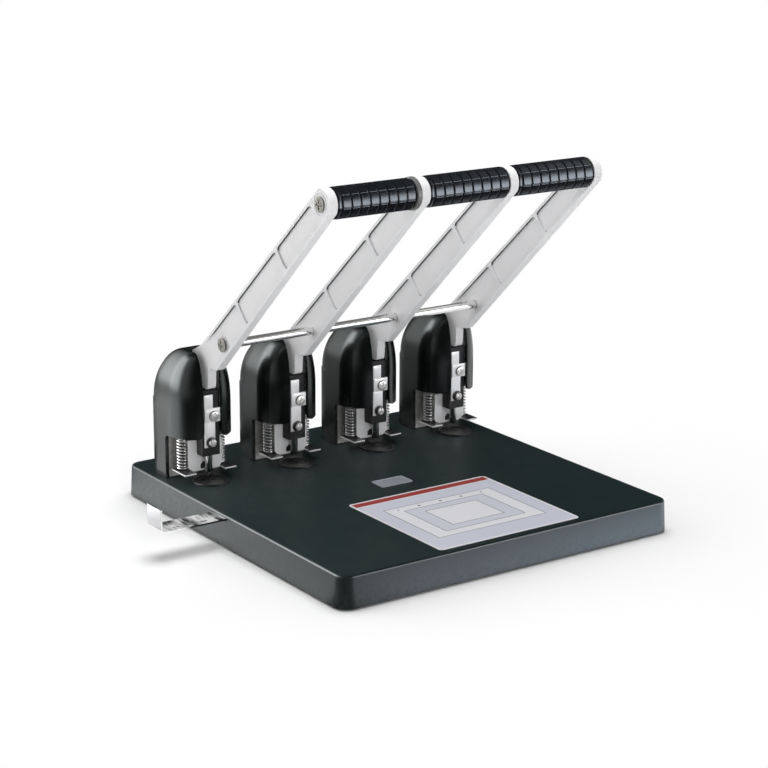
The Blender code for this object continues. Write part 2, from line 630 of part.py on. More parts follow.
def clamp_mesh():
    """Plated strip on the ram's front with a screwed block and a lower bolt."""
    face = -RAM_FRONT - FIT
    front = face - CLAMP_THICK
    upper = box((-CLAMP_LEFT, front, CLAMP_BLOCK_BOTTOM), (CLAMP_TOP_RIGHT, face, CLAMP_TOP))
    lower = box((-CLAMP_LEFT, front, CLAMP_BOTTOM), (CLAMP_STRIP_RIGHT, face, CLAMP_BLOCK_TOP - CLAMP_THICK))
    block_front = face - CLAMP_BLOCK_THICK
    block = box((-CLAMP_LEFT, block_front, CLAMP_BLOCK_BOTTOM), (CLAMP_BLOCK_RIGHT, face, CLAMP_BLOCK_TOP))
    screw = turned(screw_profile(CLAMP_SCREW_RADIUS, CLAMP_SCREW_PROUD + CLAMP_BLOCK_THICK / 2), "Y", 16)
    screw.transform(Matrix.Rotation(math.pi, 4, "Z"))
    shifted(screw, (CLAMP_SCREW_X, block_front + CLAMP_BLOCK_THICK / 2, CLAMP_SCREW_HEIGHT))
    bolt = turned(screw_profile(CLAMP_BOLT_RADIUS, CLAMP_BOLT_PROUD + CLAMP_THICK / 2), "Y", 16)
    bolt.transform(Matrix.Rotation(math.pi, 4, "Z"))
    shifted(bolt, (0, front + CLAMP_THICK / 2, CLAMP_BOLT_HEIGHT))
    steps = [("UNION", lower), ("UNION", block), ("UNION", screw), ("UNION", bolt)]
    reach = CLAMP_SCREW_RADIUS * SCREW_SLOT_SHARE
    slot_half = SCREW_SLOT_WIDTH / 2
    deep = block_front - CLAMP_SCREW_PROUD + SCREW_SLOT_DEPTH
    far = block_front - CLAMP_SCREW_PROUD - OVERRUN
    for across, high in ((reach, slot_half), (slot_half, reach)):
        steps.append(("DIFFERENCE", box((CLAMP_SCREW_X - across, far, CLAMP_SCREW_HEIGHT - high),
                                        (CLAMP_SCREW_X + across, deep, CLAMP_SCREW_HEIGHT + high))))
    return shaped(upper, steps, 40.0)


def spring_points():
    """Coil with its ends straight for one wire diameter, standing between plate and yoke."""
    low = STRIP_BOTTOM + STRIP_THICK + FIT
    high = YOKE_BOTTOM - FIT
    wire = WIRE_RADIUS * 2
    count = SPRING_CURLS * CURL_POINTS
    start, end = low + wire, high - wire
    points = [(SPRING_RADIUS, 0, low)]
    for n in range(count + 1):
        angle = math.tau * n / CURL_POINTS
        points.append((SPRING_RADIUS * math.cos(angle), SPRING_RADIUS * math.sin(angle),
                       start + (end - start) * n / count))
    points.append((SPRING_RADIUS, 0, high))
    return points


def spring_gap(points):
    """Least gap between the wire and itself, past the neighbouring points of the path."""
    least = math.inf
    for i, a in enumerate(points):
        for b in points[i + CURL_POINTS - 1:]:
            least = min(least, math.dist(a, b))
    return least - WIRE_RADIUS * 2


def spring_mesh():
    points = spring_points()
    print("spring: least gap to itself %.2f mm" % (spring_gap(points) * 1000))
    curve = bpy.data.curves.new("spring", "CURVE")
    curve.dimensions = "3D"
    curve.resolution_u = 1
    curve.bevel_depth = WIRE_RADIUS
    curve.bevel_resolution = 1
    curve.use_fill_caps = True
    line = curve.splines.new("POLY")
    line.points.add(len(points) - 1)
    for spot, (x, y, z) in zip(line.points, points):
        spot.co = (x, y, z, 1)
    thing = bpy.data.objects.new("spring", curve)
    bpy.context.collection.objects.link(thing)
    bpy.context.view_layer.update()
    mesh = bpy.data.meshes.new_from_object(thing.evaluated_get(bpy.context.evaluated_depsgraph_get()))
    bpy.data.objects.remove(thing, do_unlink=True)
    mesh.materials.clear()
    mesh.shade_smooth()
    return mesh


# Lever arm, counted from the punch axis and the deck

def arm_axes():
    """Unit vectors along the arm, from the hub down, and across it to the back."""
    back_foot = Vector((CORNER_BACK, CORNER_HEIGHT))
    front_foot = Vector((-CHIN_FORWARD, CHIN_HEIGHT))
    hub = Vector((-HUB_FORWARD, HUB_HEIGHT))
    along = ((back_foot + front_foot) / 2 - hub).normalized()
    return hub, along, Vector((-along.y, along.x))


def arm_outline():
    hub, along, across = arm_axes()
    heading = math.degrees(math.atan2(across.y, across.x))
    lean = math.degrees(math.acos(min(1.0, ARM_BACK_TOP / HUB_RADIUS)))
    turn = math.degrees(math.acos(min(1.0, ARM_FRONT_TOP / HUB_RADIUS)))
    points = arc(hub, HUB_RADIUS, heading + 180.0 - turn, heading + lean, 10)
    points.append((CORNER_BACK, CORNER_HEIGHT))
    points.append((TAIL_BACK, TAIL_HEIGHT))
    pivot = (PIVOT_BACK, PIVOT_HEIGHT)
    points += arc(pivot, TAIL_RADIUS, 25.0, -100.0, 6)
    nose = (-NOSE_FORWARD, NOSE_HEIGHT)
    points += arc(nose, NOSE_RADIUS, -75.0, -180.0, 5)
    points.append((-BEND_FORWARD, BEND_HEIGHT))
    points.append((-CHIN_FORWARD, CHIN_HEIGHT))
    return points


def arm_mesh():
    """One cast arm: bores for the bar, the rod and the pivot, three shallow panels a side."""
    hub, along, across = arm_axes()
    plate = prism(arm_outline(), "X", -ARM_HALF, ARM_HALF)
    steps = []
    for place_yz, radius in ((hub, BAR_RADIUS + FIT), ((-ROD_FORWARD, ROD_HEIGHT), ROD_RADIUS + FIT),
                             ((PIVOT_BACK, PIVOT_HEIGHT), PIVOT_RADIUS + FIT)):
        reach = ARM_HALF + OVERRUN
        bore = turned([(0, -reach), (radius, -reach), (radius, reach), (0, reach)], "X", 12)
        steps.append(("DIFFERENCE", shifted(bore, (0, place_yz[0], place_yz[1]))))
    back_foot = Vector((CORNER_BACK, CORNER_HEIGHT))
    front_foot = Vector((-CHIN_FORWARD, CHIN_HEIGHT))
    full = (back_foot - hub).dot(along)
    panel_end = ((back_foot + front_foot) / 2 - hub).dot(along) - PANEL_STOP
    length = panel_end - PANEL_START
    ribs = [PANEL_START + length * share for share in PANEL_RIB_SHARES]
    cuts = [PANEL_START, *ribs, panel_end]
    grow_back = (back_foot - hub).dot(across) - ARM_BACK_TOP
    grow_front = (hub - front_foot).dot(across) - ARM_FRONT_TOP
    for start, end in zip(cuts, cuts[1:]):
        low = start + (PANEL_RIB / 2 if start != PANEL_START else 0)
        high = end - (PANEL_RIB / 2 if end != panel_end else 0)
        corners = []
        for spot, side in ((low, 1), (high, 1), (high, -1), (low, -1)):
            wide = ARM_BACK_TOP + grow_back * spot / full if side > 0 else ARM_FRONT_TOP + grow_front * spot / full
            corners.append(tuple(hub + along * spot + across * side * (wide - PANEL_MARGIN)))
        for side in (-1, 1):
            near, far = side * (ARM_HALF - PANEL_DEPTH), side * (ARM_HALF + OVERRUN)
            steps.append(("DIFFERENCE", prism(corners, "X", min(near, far), max(near, far))))
    return shaped(plate, steps, 30.0)


def cross_slots(radius, face, x_sign):
    """Two thin boxes that cut a cross into a screw head whose dome ends at face."""
    reach = radius * SCREW_SLOT_SHARE
    half = SCREW_SLOT_WIDTH / 2
    deep = face - x_sign * SCREW_SLOT_DEPTH
    far = face + x_sign * OVERRUN
    low, high = min(deep, far), max(deep, far)
    return [("DIFFERENCE", box((low, -reach, -half), (high, reach, half))),
            ("DIFFERENCE", box((low, -half, -reach), (high, half, reach)))]


def rod_mesh(radius):
    """Round bar across all arms with a domed screw at each end."""
    end = ROW / 2 + ARM_HALF + FIT
    dome = end + SCREW_DOME
    rim = end + SCREW_DOME / 2
    shoulder = SCREW_RADIUS * SCREW_CROWN_SHARE
    bar = turned([(0, -dome), (shoulder, -dome), (SCREW_RADIUS, -rim), (SCREW_RADIUS, -end), (radius, -end),
                  (radius, end), (SCREW_RADIUS, end), (SCREW_RADIUS, rim), (shoulder, dome), (0, dome)], "X", 16)
    return shaped(bar, cross_slots(SCREW_RADIUS, -dome, -1) + cross_slots(SCREW_RADIUS, dome, 1), 40.0)


def grip_mesh(length):
    """Sleeve on the handle bar with rounded ends."""
    half = length / 2
    bore = BAR_RADIUS + FIT
    profile = [(bore, -half), (GRIP_RADIUS - GRIP_EDGE, -half), (GRIP_RADIUS, -half + GRIP_EDGE),
               (GRIP_RADIUS, half - GRIP_EDGE), (GRIP_RADIUS - GRIP_EDGE, half), (bore, half), (bore, -half)]
    return turned(profile, "X", 20)


# Paper guide: a flat strip with a flange turned up at its outer end

def guide_mesh():
    half = GUIDE_WIDTH / 2
    outer = -GUIDE_REACH
    inner = BASE_WALL + BASE_DRAFT + GUIDE_INSIDE
    bend = GUIDE_BEND
    thick = GUIDE_THICK
    section = arc((outer + bend, bend), bend, 180.0, 270.0, 4)
    section += [(inner, 0), (inner, thick)]
    section += arc((outer + bend, bend), bend - thick, 270.0, 180.0, 4)
    section += [(outer + thick, GUIDE_FLANGE), (outer, GUIDE_FLANGE)]
    strip = prism(section, "Y", -half, half, 30.0)
    steps = []
    for n in range(GUIDE_NOTCHES):
        x = outer + bend + thick + GUIDE_NOTCH_PITCH * (n + 1)
        steps.append(("DIFFERENCE", box((x - GUIDE_NOTCH_WIDTH / 2, -half + GUIDE_STEP_IN * 2, -OVERRUN),
                                        (x + GUIDE_NOTCH_WIDTH / 2, -half + GUIDE_STEP_IN * 3, thick + OVERRUN))))
    return shaped(strip, steps)


def build():
    clear_scene()
    shell_black = paint("shell_black", (0.022, 0.027, 0.026), 0.48)
    cover_black = paint("cover_black", (0.030, 0.030, 0.030), 0.70)
    foot_rubber = paint("foot_rubber", (0.015, 0.015, 0.015), 0.85)
    hood_black = paint("hood_black", (0.012, 0.014, 0.014), 0.30)
    disc_black = paint("disc_black", (0.010, 0.010, 0.011), 0.38)
    zinc = paint("zinc", (0.62, 0.63, 0.62), 0.32, 1.0)
    spring_steel = paint("spring_steel", (0.70, 0.70, 0.69), 0.22, 1.0)
    ram_black = paint("ram_black", (0.008, 0.008, 0.009), 0.42)
    pin_steel = paint("pin_steel", (0.72, 0.72, 0.72), 0.18, 1.0)
    cast_silver = paint("cast_silver", (0.70, 0.70, 0.70), 0.40, 0.75)
    grip_rubber = paint("grip_rubber", (0.014, 0.015, 0.017), 0.42)
    collar_grey = paint("collar_grey", (0.16, 0.16, 0.16), 0.45)
    chrome = paint("chrome", (0.78, 0.76, 0.72), 0.12, 1.0)
    plate_silver = paint("plate_silver", (0.60, 0.62, 0.63), 0.30, 0.9)
    label_white = paint("label_white", (0.82, 0.82, 0.83), 0.50)

    place("base_shell", base_shell_mesh(), shell_black)
    place("base_cover", cover_mesh(), cover_black)
    foot = foot_mesh()
    for n, (x, y) in enumerate(foot_places()):
        place("foot_%d" % (n + 1), foot, foot_rubber, (x, y, 0))
    place("name_plate", plate_mesh(PLATE_WIDTH, PLATE_DEPTH, PLATE_THICK, PLATE_CORNER), plate_silver,
          (FIRST_X + PLATE_RIGHT, AXIS_Y - PLATE_FORWARD, DECK_Z))
    place("label", plate_mesh(LABEL_WIDTH, LABEL_DEPTH, LABEL_THICK, LABEL_CORNER), label_white,
          (FIRST_X + LABEL_RIGHT, AXIS_Y - LABEL_FORWARD, DECK_Z))

    disc, hood, frame, pivot = disc_mesh(), hood_mesh(), frame_mesh(), pivot_mesh()
    stripper, ram, pin, clamp, spring = stripper_mesh(), ram_mesh(), pin_mesh(), clamp_mesh(), spring_mesh()
    for n, x in enumerate(HEADS):
        mark = n + 1
        at = Vector((x, AXIS_Y, DECK_Z))
        place("disc_%d" % mark, disc, disc_black, at)
        place("hood_%d" % mark, hood, hood_black, at)
        place("frame_%d" % mark, frame, zinc, at)
        place("pivot_%d" % mark, pivot, pin_steel, at + Vector((0, PIVOT_BACK, PIVOT_HEIGHT)))
        place("stripper_%d" % mark, stripper, zinc, at)
        place("ram_%d" % mark, ram, ram_black, at)
        place("pin_%d" % mark, pin, pin_steel, at + Vector((0, PIN_BACK, 0)))
        place("clamp_%d" % mark, clamp, zinc, at)
        for side, word in ((-1, "left"), (1, "right")):
            place("spring_%s_%d" % (word, mark), spring, spring_steel, at + Vector((side * SPRING_X, SPRING_BACK, 0)))

    middle_x = FIRST_X + ROW / 2
    lever = bpy.data.objects.new("lever_axis", None)
    bpy.context.collection.objects.link(lever)
    lever.location = (middle_x, AXIS_Y + PIVOT_BACK, DECK_Z + PIVOT_HEIGHT)
    arm = arm_mesh()
    shifted(arm, (0, -PIVOT_BACK, -PIVOT_HEIGHT))
    for n, x in enumerate(HEADS):
        place("arm_%d" % (n + 1), arm, cast_silver, (x, lever.location.y, lever.location.z), lever)
    hub_spot = (middle_x, AXIS_Y - HUB_FORWARD, DECK_Z + HUB_HEIGHT)
    place("handle_bar", rod_mesh(BAR_RADIUS), pin_steel, hub_spot, lever)
    place("link_rod", rod_mesh(ROD_RADIUS), chrome, (middle_x, AXIS_Y - ROD_FORWARD, DECK_Z + ROD_HEIGHT), lever)
    span = HEAD_PITCH - ARM_THICK - FIT * 2
    for n in range(HEAD_COUNT - 1):
        short = COLLAR_LENGTH + FIT if n == 0 else 0
        x = (HEADS[n] + HEADS[n + 1] - short) / 2
        place("grip_%d" % (n + 1), grip_mesh(span - short), grip_rubber, (x, hub_spot[1], hub_spot[2]), lever)
    collar_x = HEADS[1] - ARM_HALF - FIT - COLLAR_LENGTH / 2
    place("grip_collar", grip_mesh(COLLAR_LENGTH), collar_grey, (collar_x, hub_spot[1], hub_spot[2]), lever)

    guide_z = DECK_Z - DECK_THICK - FIT - GUIDE_THICK
    place("paper_guide", guide_mesh(), chrome, (LEFT, AXIS_Y + GUIDE_BACK, guide_z))


build()
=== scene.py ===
# Looks of the four-hole punch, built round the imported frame.
# Metres in the frame's own axes: X along the heads, Y to the back, Z up.

import math

import bmesh
import bpy
import numpy as np
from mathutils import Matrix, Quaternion, Vector


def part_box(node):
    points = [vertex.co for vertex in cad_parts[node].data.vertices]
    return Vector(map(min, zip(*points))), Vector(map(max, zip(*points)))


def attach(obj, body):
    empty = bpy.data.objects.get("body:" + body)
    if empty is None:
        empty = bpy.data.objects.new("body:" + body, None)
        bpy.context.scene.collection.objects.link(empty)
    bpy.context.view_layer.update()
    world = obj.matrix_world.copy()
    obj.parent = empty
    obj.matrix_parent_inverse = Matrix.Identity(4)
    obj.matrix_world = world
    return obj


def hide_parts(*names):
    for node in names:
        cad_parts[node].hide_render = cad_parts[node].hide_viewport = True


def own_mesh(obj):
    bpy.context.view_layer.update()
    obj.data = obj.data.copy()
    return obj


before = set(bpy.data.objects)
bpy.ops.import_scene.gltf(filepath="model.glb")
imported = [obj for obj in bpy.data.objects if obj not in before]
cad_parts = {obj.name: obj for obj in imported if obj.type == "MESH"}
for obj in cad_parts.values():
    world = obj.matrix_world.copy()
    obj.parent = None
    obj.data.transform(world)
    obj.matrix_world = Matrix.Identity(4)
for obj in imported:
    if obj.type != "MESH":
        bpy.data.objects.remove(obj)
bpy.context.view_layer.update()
scene = bpy.context.scene
headNumbers = (1, 2, 3, 4)
deckTop = 0.0260


def boxOf(node):
    low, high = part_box(node)
    return low, high, (low + high) / 2


headPlace = {n: np.array([*boxOf("disc_%d" % n)[2].xy, deckTop]) for n in headNumbers}
print("frame is in, four heads found")


# Meshes from whole arrays

def fullTurn(steps):
    return np.linspace(0, 2 * np.pi, steps, endpoint=False)


def arcPoints(centre, radius, start, end, steps):
    turn = np.radians(np.linspace(start, end, steps + 1))
    return np.asarray(centre) + radius * np.stack([np.cos(turn), np.sin(turn)], -1)


# the four quarter turns of a rounded rectangle, one after the other
def fourCorners(steps):
    quarter = np.linspace(0, np.pi / 2, steps + 1)
    return np.concatenate([quarter + np.pi / 2 * n for n in range(4)])


# quads between the rows of a grid of points, with the first and last row filled when capped
def skin(points, closed=True, capped=True):
    rows, columns = points.shape[:2]
    down, across = np.meshgrid(np.arange(rows - 1), np.arange(columns if closed else columns - 1), indexing="ij")
    nextOne = (across + 1) % columns
    quads = np.stack([down * columns + across, down * columns + nextOne,
                      (down + 1) * columns + nextOne, (down + 1) * columns + across], -1).reshape(-1, 4).tolist()
    if capped:
        quads += [list(range(columns))[::-1], list(range((rows - 1) * columns, rows * columns))]
    return points.reshape(-1, 3), quads


# several skins as one list of points and faces
def together(*skins):
    points, faces, start = [], [], 0
    for spots, quads in skins:
        points.append(spots)
        faces += [[n + start for n in quad] for quad in quads]
        start += len(spots)
    return np.concatenate(points), faces


def shadeSmooth(mesh, sharpDegrees):
    mesh.shade_smooth()
    if sharpDegrees:
        mesh.set_sharp_from_angle(angle=math.radians(sharpDegrees))
    return mesh


# welds doubles, turns faces outwards and shades smooth up to an angle
def meshOf(name, shape, sharpDegrees=38.0, shift=(0, 0, 0)):
    points, faces = shape
    mesh = bpy.data.meshes.new(name)
    mesh.from_pydata((np.asarray(points, float) + shift).tolist(), [], faces)
    bm = bmesh.new()
    bm.from_mesh(mesh)
    bmesh.ops.remove_doubles(bm, verts=bm.verts, dist=2e-6)
    bmesh.ops.dissolve_degenerate(bm, edges=bm.edges, dist=1e-7)
    bmesh.ops.recalc_face_normals(bm, faces=bm.faces)
    bm.to_mesh(mesh)
    bm.free()
    return shadeSmooth(mesh, sharpDegrees)


def newObject(name, data):
    made = bpy.data.objects.new(name, data)
    scene.collection.objects.link(made)
    return made


def addPiece(name, mesh, paint, body, nodes):
    piece = newObject(name, mesh)
    if not mesh.materials:
        mesh.materials.append(finish[paint])
    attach(piece, body)
    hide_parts(*nodes)
    return piece


# each corner of a line of points becomes a short curve that starts and ends "radius" away from it
def roundCorners(line, radius, steps=4):
    line = np.asarray(line, float)
    made = [line[:1]]
    share = np.linspace(0, 1, steps + 1)[:, None]
    for before, corner, after in zip(line, line[1:], line[2:]):
        back, ahead = before - corner, after - corner
        cut = min(radius, np.linalg.norm(back) * 0.49, np.linalg.norm(ahead) * 0.49)
        start = corner + back / np.linalg.norm(back) * cut
        end = corner + ahead / np.linalg.norm(ahead) * cut
        made.append(start * (1 - share) ** 2 + corner * 2 * share * (1 - share) + end * share ** 2)
    return np.concatenate(made + [line[-1:]])


# surface of revolution: point = centre + along * axis + radius * (cos turn, sin turn) across it
def turned(profile, centre, axis="Z", steps=64, capped=True):
    profile = np.asarray(profile, float)
    turn = fullTurn(steps)
    one, two = profile[:, :1] * np.cos(turn), profile[:, :1] * np.sin(turn)
    along = profile[:, 1:] + 0 * turn
    order = {"Z": (one, two, along), "X": (along, one, two), "Y": (two, along, one)}[axis]
    return skin(np.stack(order, -1) + np.asarray(centre), capped=capped)


# box with round edges: point = corner of the shrunken box + radius * point of a ball
def softBox(low, high, radius, steps=3):
    low, high = np.asarray(low, float), np.asarray(high, float)
    middle, half = (low + high) / 2, (high - low) / 2 - radius
    turn, quarter = fourCorners(steps), np.linspace(0, np.pi / 2, steps + 1)
    rise = np.concatenate([quarter - np.pi / 2, quarter])[:, None]
    x = np.repeat([1, -1, -1, 1], steps + 1) * half[0] + radius * np.cos(rise) * np.cos(turn)
    y = np.repeat([1, 1, -1, -1], steps + 1) * half[1] + radius * np.cos(rise) * np.sin(turn)
    z = np.repeat([-1, 1], steps + 1)[:, None] * half[2] + radius * np.sin(rise) + 0 * turn
    return skin(np.stack([x, y, z], -1) + middle)


# 1 inside a cross and 0 outside it, with a slope of the given width between
def crossShape(across, up, reach, half, slope):
    a, b = np.abs(across), np.abs(up)
    away = np.minimum(np.maximum(a - reach, b - half), np.maximum(b - reach, a - half))
    return np.clip(0.5 - away / slope, 0, 1)


# screw head: height = rim + dome * (1 - (r / R) ** 2) less the depth of a cross, over a straight side wall
def screwHead(centre, out, radius, rim, dome, cross, steps=72):
    side, up = np.array([0, 1.0, 0] if out[0] else [1.0, 0, 0]), np.array([0, 0, 1.0])
    soft = 0.22 * rim
    wall = np.array([[radius, 0], [radius, rim - soft], [radius - soft * 0.3, rim - soft * 0.3]])
    inner = np.linspace(radius - soft, 0, 30)
    inner = np.stack([inner, rim + dome * (1 - (inner / (radius - soft)) ** 2)], -1)
    profile = np.concatenate([wall, inner])
    turn = fullTurn(steps)
    a, b = profile[:, :1] * np.cos(turn), profile[:, :1] * np.sin(turn)
    height = profile[:, 1:] - cross["depth"] * crossShape(a, b, cross["reach"], cross["half"], cross["slope"])
    height[0] = 0
    outward = height[..., None] * np.asarray(out, float)
    return skin(np.asarray(centre) + a[..., None] * side + b[..., None] * up + outward)


def arrayOf(items, name):
    values = np.empty(len(items) * 3)
    items.foreach_get(name, values)
    return values.reshape(-1, 3)


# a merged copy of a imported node's mesh, its flat faces joined, ready for round edges
def copyOf(node, name):
    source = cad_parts[node].data
    mesh = meshOf(name, (arrayOf(source.vertices, "co"), [list(face.vertices) for face in source.polygons]), 0)
    bm = bmesh.new()
    bm.from_mesh(mesh)
    bmesh.ops.remove_doubles(bm, verts=bm.verts, dist=1e-5)
    bmesh.ops.dissolve_limit(bm, angle_limit=math.radians(1.0), verts=bm.verts, edges=bm.edges)
    bm.to_mesh(mesh)
    bm.free()
    return mesh


# faces whose normal and middle pass the test take another finish
def faceFinish(mesh, other, test):
    mesh.materials.append(other)
    chosen = test(arrayOf(mesh.polygons, "normal"), arrayOf(mesh.polygons, "center"))
    index = np.empty(len(mesh.polygons), np.int32)
    mesh.polygons.foreach_get("material_index", index)
    mesh.polygons.foreach_set("material_index", np.where(chosen, len(mesh.materials) - 1, index).astype(np.int32))


def softEdges(piece, width, segments=2, degrees=32.0):
    bevel = piece.modifiers.new("softEdges", "BEVEL")
    bevel.width = width
    bevel.segments = segments
    bevel.limit_method = "ANGLE"
    bevel.angle_limit = math.radians(degrees)
    piece.modifiers.new("flatFaces", "WEIGHTED_NORMAL").keep_sharp = True


# takes the cutters away from a mesh
def carved(mesh, cutters):
    body = newObject("carving", mesh)
    tools = [newObject("cutter", cutter) for cutter in cutters]
    for tool in tools:
        change = body.modifiers.new("cut", "BOOLEAN")
        change.operation = "DIFFERENCE"
        change.solver = "EXACT"
        change.object = tool
    bpy.context.view_layer.update()
    made = bpy.data.meshes.new_from_object(body.evaluated_get(bpy.context.evaluated_depsgraph_get()))
    for thing in [body, *tools]:
        bpy.data.objects.remove(thing, do_unlink=True)
    return made


# Materials

def addNode(tree, kind, feeds=None, **settings):
    made = tree.nodes.new("ShaderNode" + kind)
    for name, value in settings.items():
        setattr(made, name, value)
    for name, value in (feeds or {}).items():
        if isinstance(value, bpy.types.NodeSocket):
            tree.links.new(value, made.inputs[name])
        else:
            made.inputs[name].default_value = value
    return made


def maths(tree, operation, *values):
    return addNode(tree, "Math", dict(enumerate(values)), operation=operation).outputs[0]


# rises from "low" to "high" while the value goes from "start" to "end"
def ramp(tree, value, start, end, low=0.0, high=1.0, **settings):
    return addNode(tree, "MapRange", {"Value": value, "From Min": start, "From Max": end, "To Min": low,
                                      "To Max": high}, **settings).outputs[0]


def objectPlace(tree):
    return addNode(tree, "TexCoord").outputs["Object"]


def noise(tree, place, scale, detail):
    return addNode(tree, "TexNoise", {"Vector": place, "Scale": scale, "Detail": detail}).outputs[0]


def principled(tree):
    return tree.nodes["Principled BSDF"].inputs


def newGroup(name, outputs, **inputs):
    group = bpy.data.node_groups.new(name, "ShaderNodeTree")
    for label, value in inputs.items():
        kind = "NodeSocketVector" if isinstance(value, tuple) else "NodeSocketFloat"
        group.interface.new_socket(label, in_out="INPUT", socket_type=kind).default_value = value
    for label in outputs:
        group.interface.new_socket(label, in_out="OUTPUT", socket_type="NodeSocketFloat")
    return group, group.nodes.new("NodeGroupInput").outputs, group.nodes.new("NodeGroupOutput").inputs


# value = low + (high - low) * noise(position * stretch * scale)
def makeGrain():
    group, given, result = newGroup("grain", ["Value", "Height"], Scale=100.0, Detail=3.0, Stretch=(1.0, 1.0, 1.0),
                                    Low=0.0, High=1.0)
    pulled = addNode(group, "VectorMath", {0: objectPlace(group), 1: given["Stretch"]}, operation="MULTIPLY").outputs[0]
    grains = noise(group, pulled, given["Scale"], given["Detail"])
    group.links.new(ramp(group, grains, 0.3, 0.7, given["Low"], given["High"]), result["Value"])
    group.links.new(grains, result["Height"])
    return group


# mask = how far the surface bulges out at an edge * noise * amount
def makeWear():
    group, given, result = newGroup("edgeWear", ["Mask"], From=0.53, To=0.62, Scale=300.0, Amount=0.5)
    bulge = addNode(group, "NewGeometry").outputs["Pointiness"]
    edge = ramp(group, bulge, given["From"], given["To"])
    broken = ramp(group, noise(group, objectPlace(group), given["Scale"], 4.0), 0.38, 0.6)
    mask = maths(group, "MULTIPLY", maths(group, "MULTIPLY", edge, broken), given["Amount"])
    group.links.new(mask, result["Mask"])
    return group


# mask = upward facing share of the surface * soft noise * amount
def makeDust():
    group, given, result = newGroup("dust", ["Mask"], Scale=60.0, Amount=0.1)
    facing = addNode(group, "SeparateXYZ", {0: addNode(group, "NewGeometry").outputs["Normal"]}).outputs["Z"]
    clouds = ramp(group, noise(group, objectPlace(group), given["Scale"], 6.0), 0.42, 0.72)
    mask = maths(group, "MULTIPLY", maths(group, "MULTIPLY", ramp(group, facing, 0.3, 1.0), clouds), given["Amount"])
    group.links.new(mask, result["Mask"])
    return group


grainGroup, wearGroup, dustGroup = makeGrain(), makeWear(), makeDust()


# a grey may be given as one number
def rgba(value):
    return (*(np.ones(3) * value).tolist(), 1.0)


def mixColour(tree, share, under, over):
    feeds = {slot: value if isinstance(value, bpy.types.NodeSocket) else rgba(value)
             for slot, value in ((6, under), (7, over))}
    return addNode(tree, "Mix", {0: share, **feeds}, data_type="RGBA").outputs[2]


def groupNode(tree, group, **values):
    return addNode(tree, "Group", values, node_tree=group).outputs


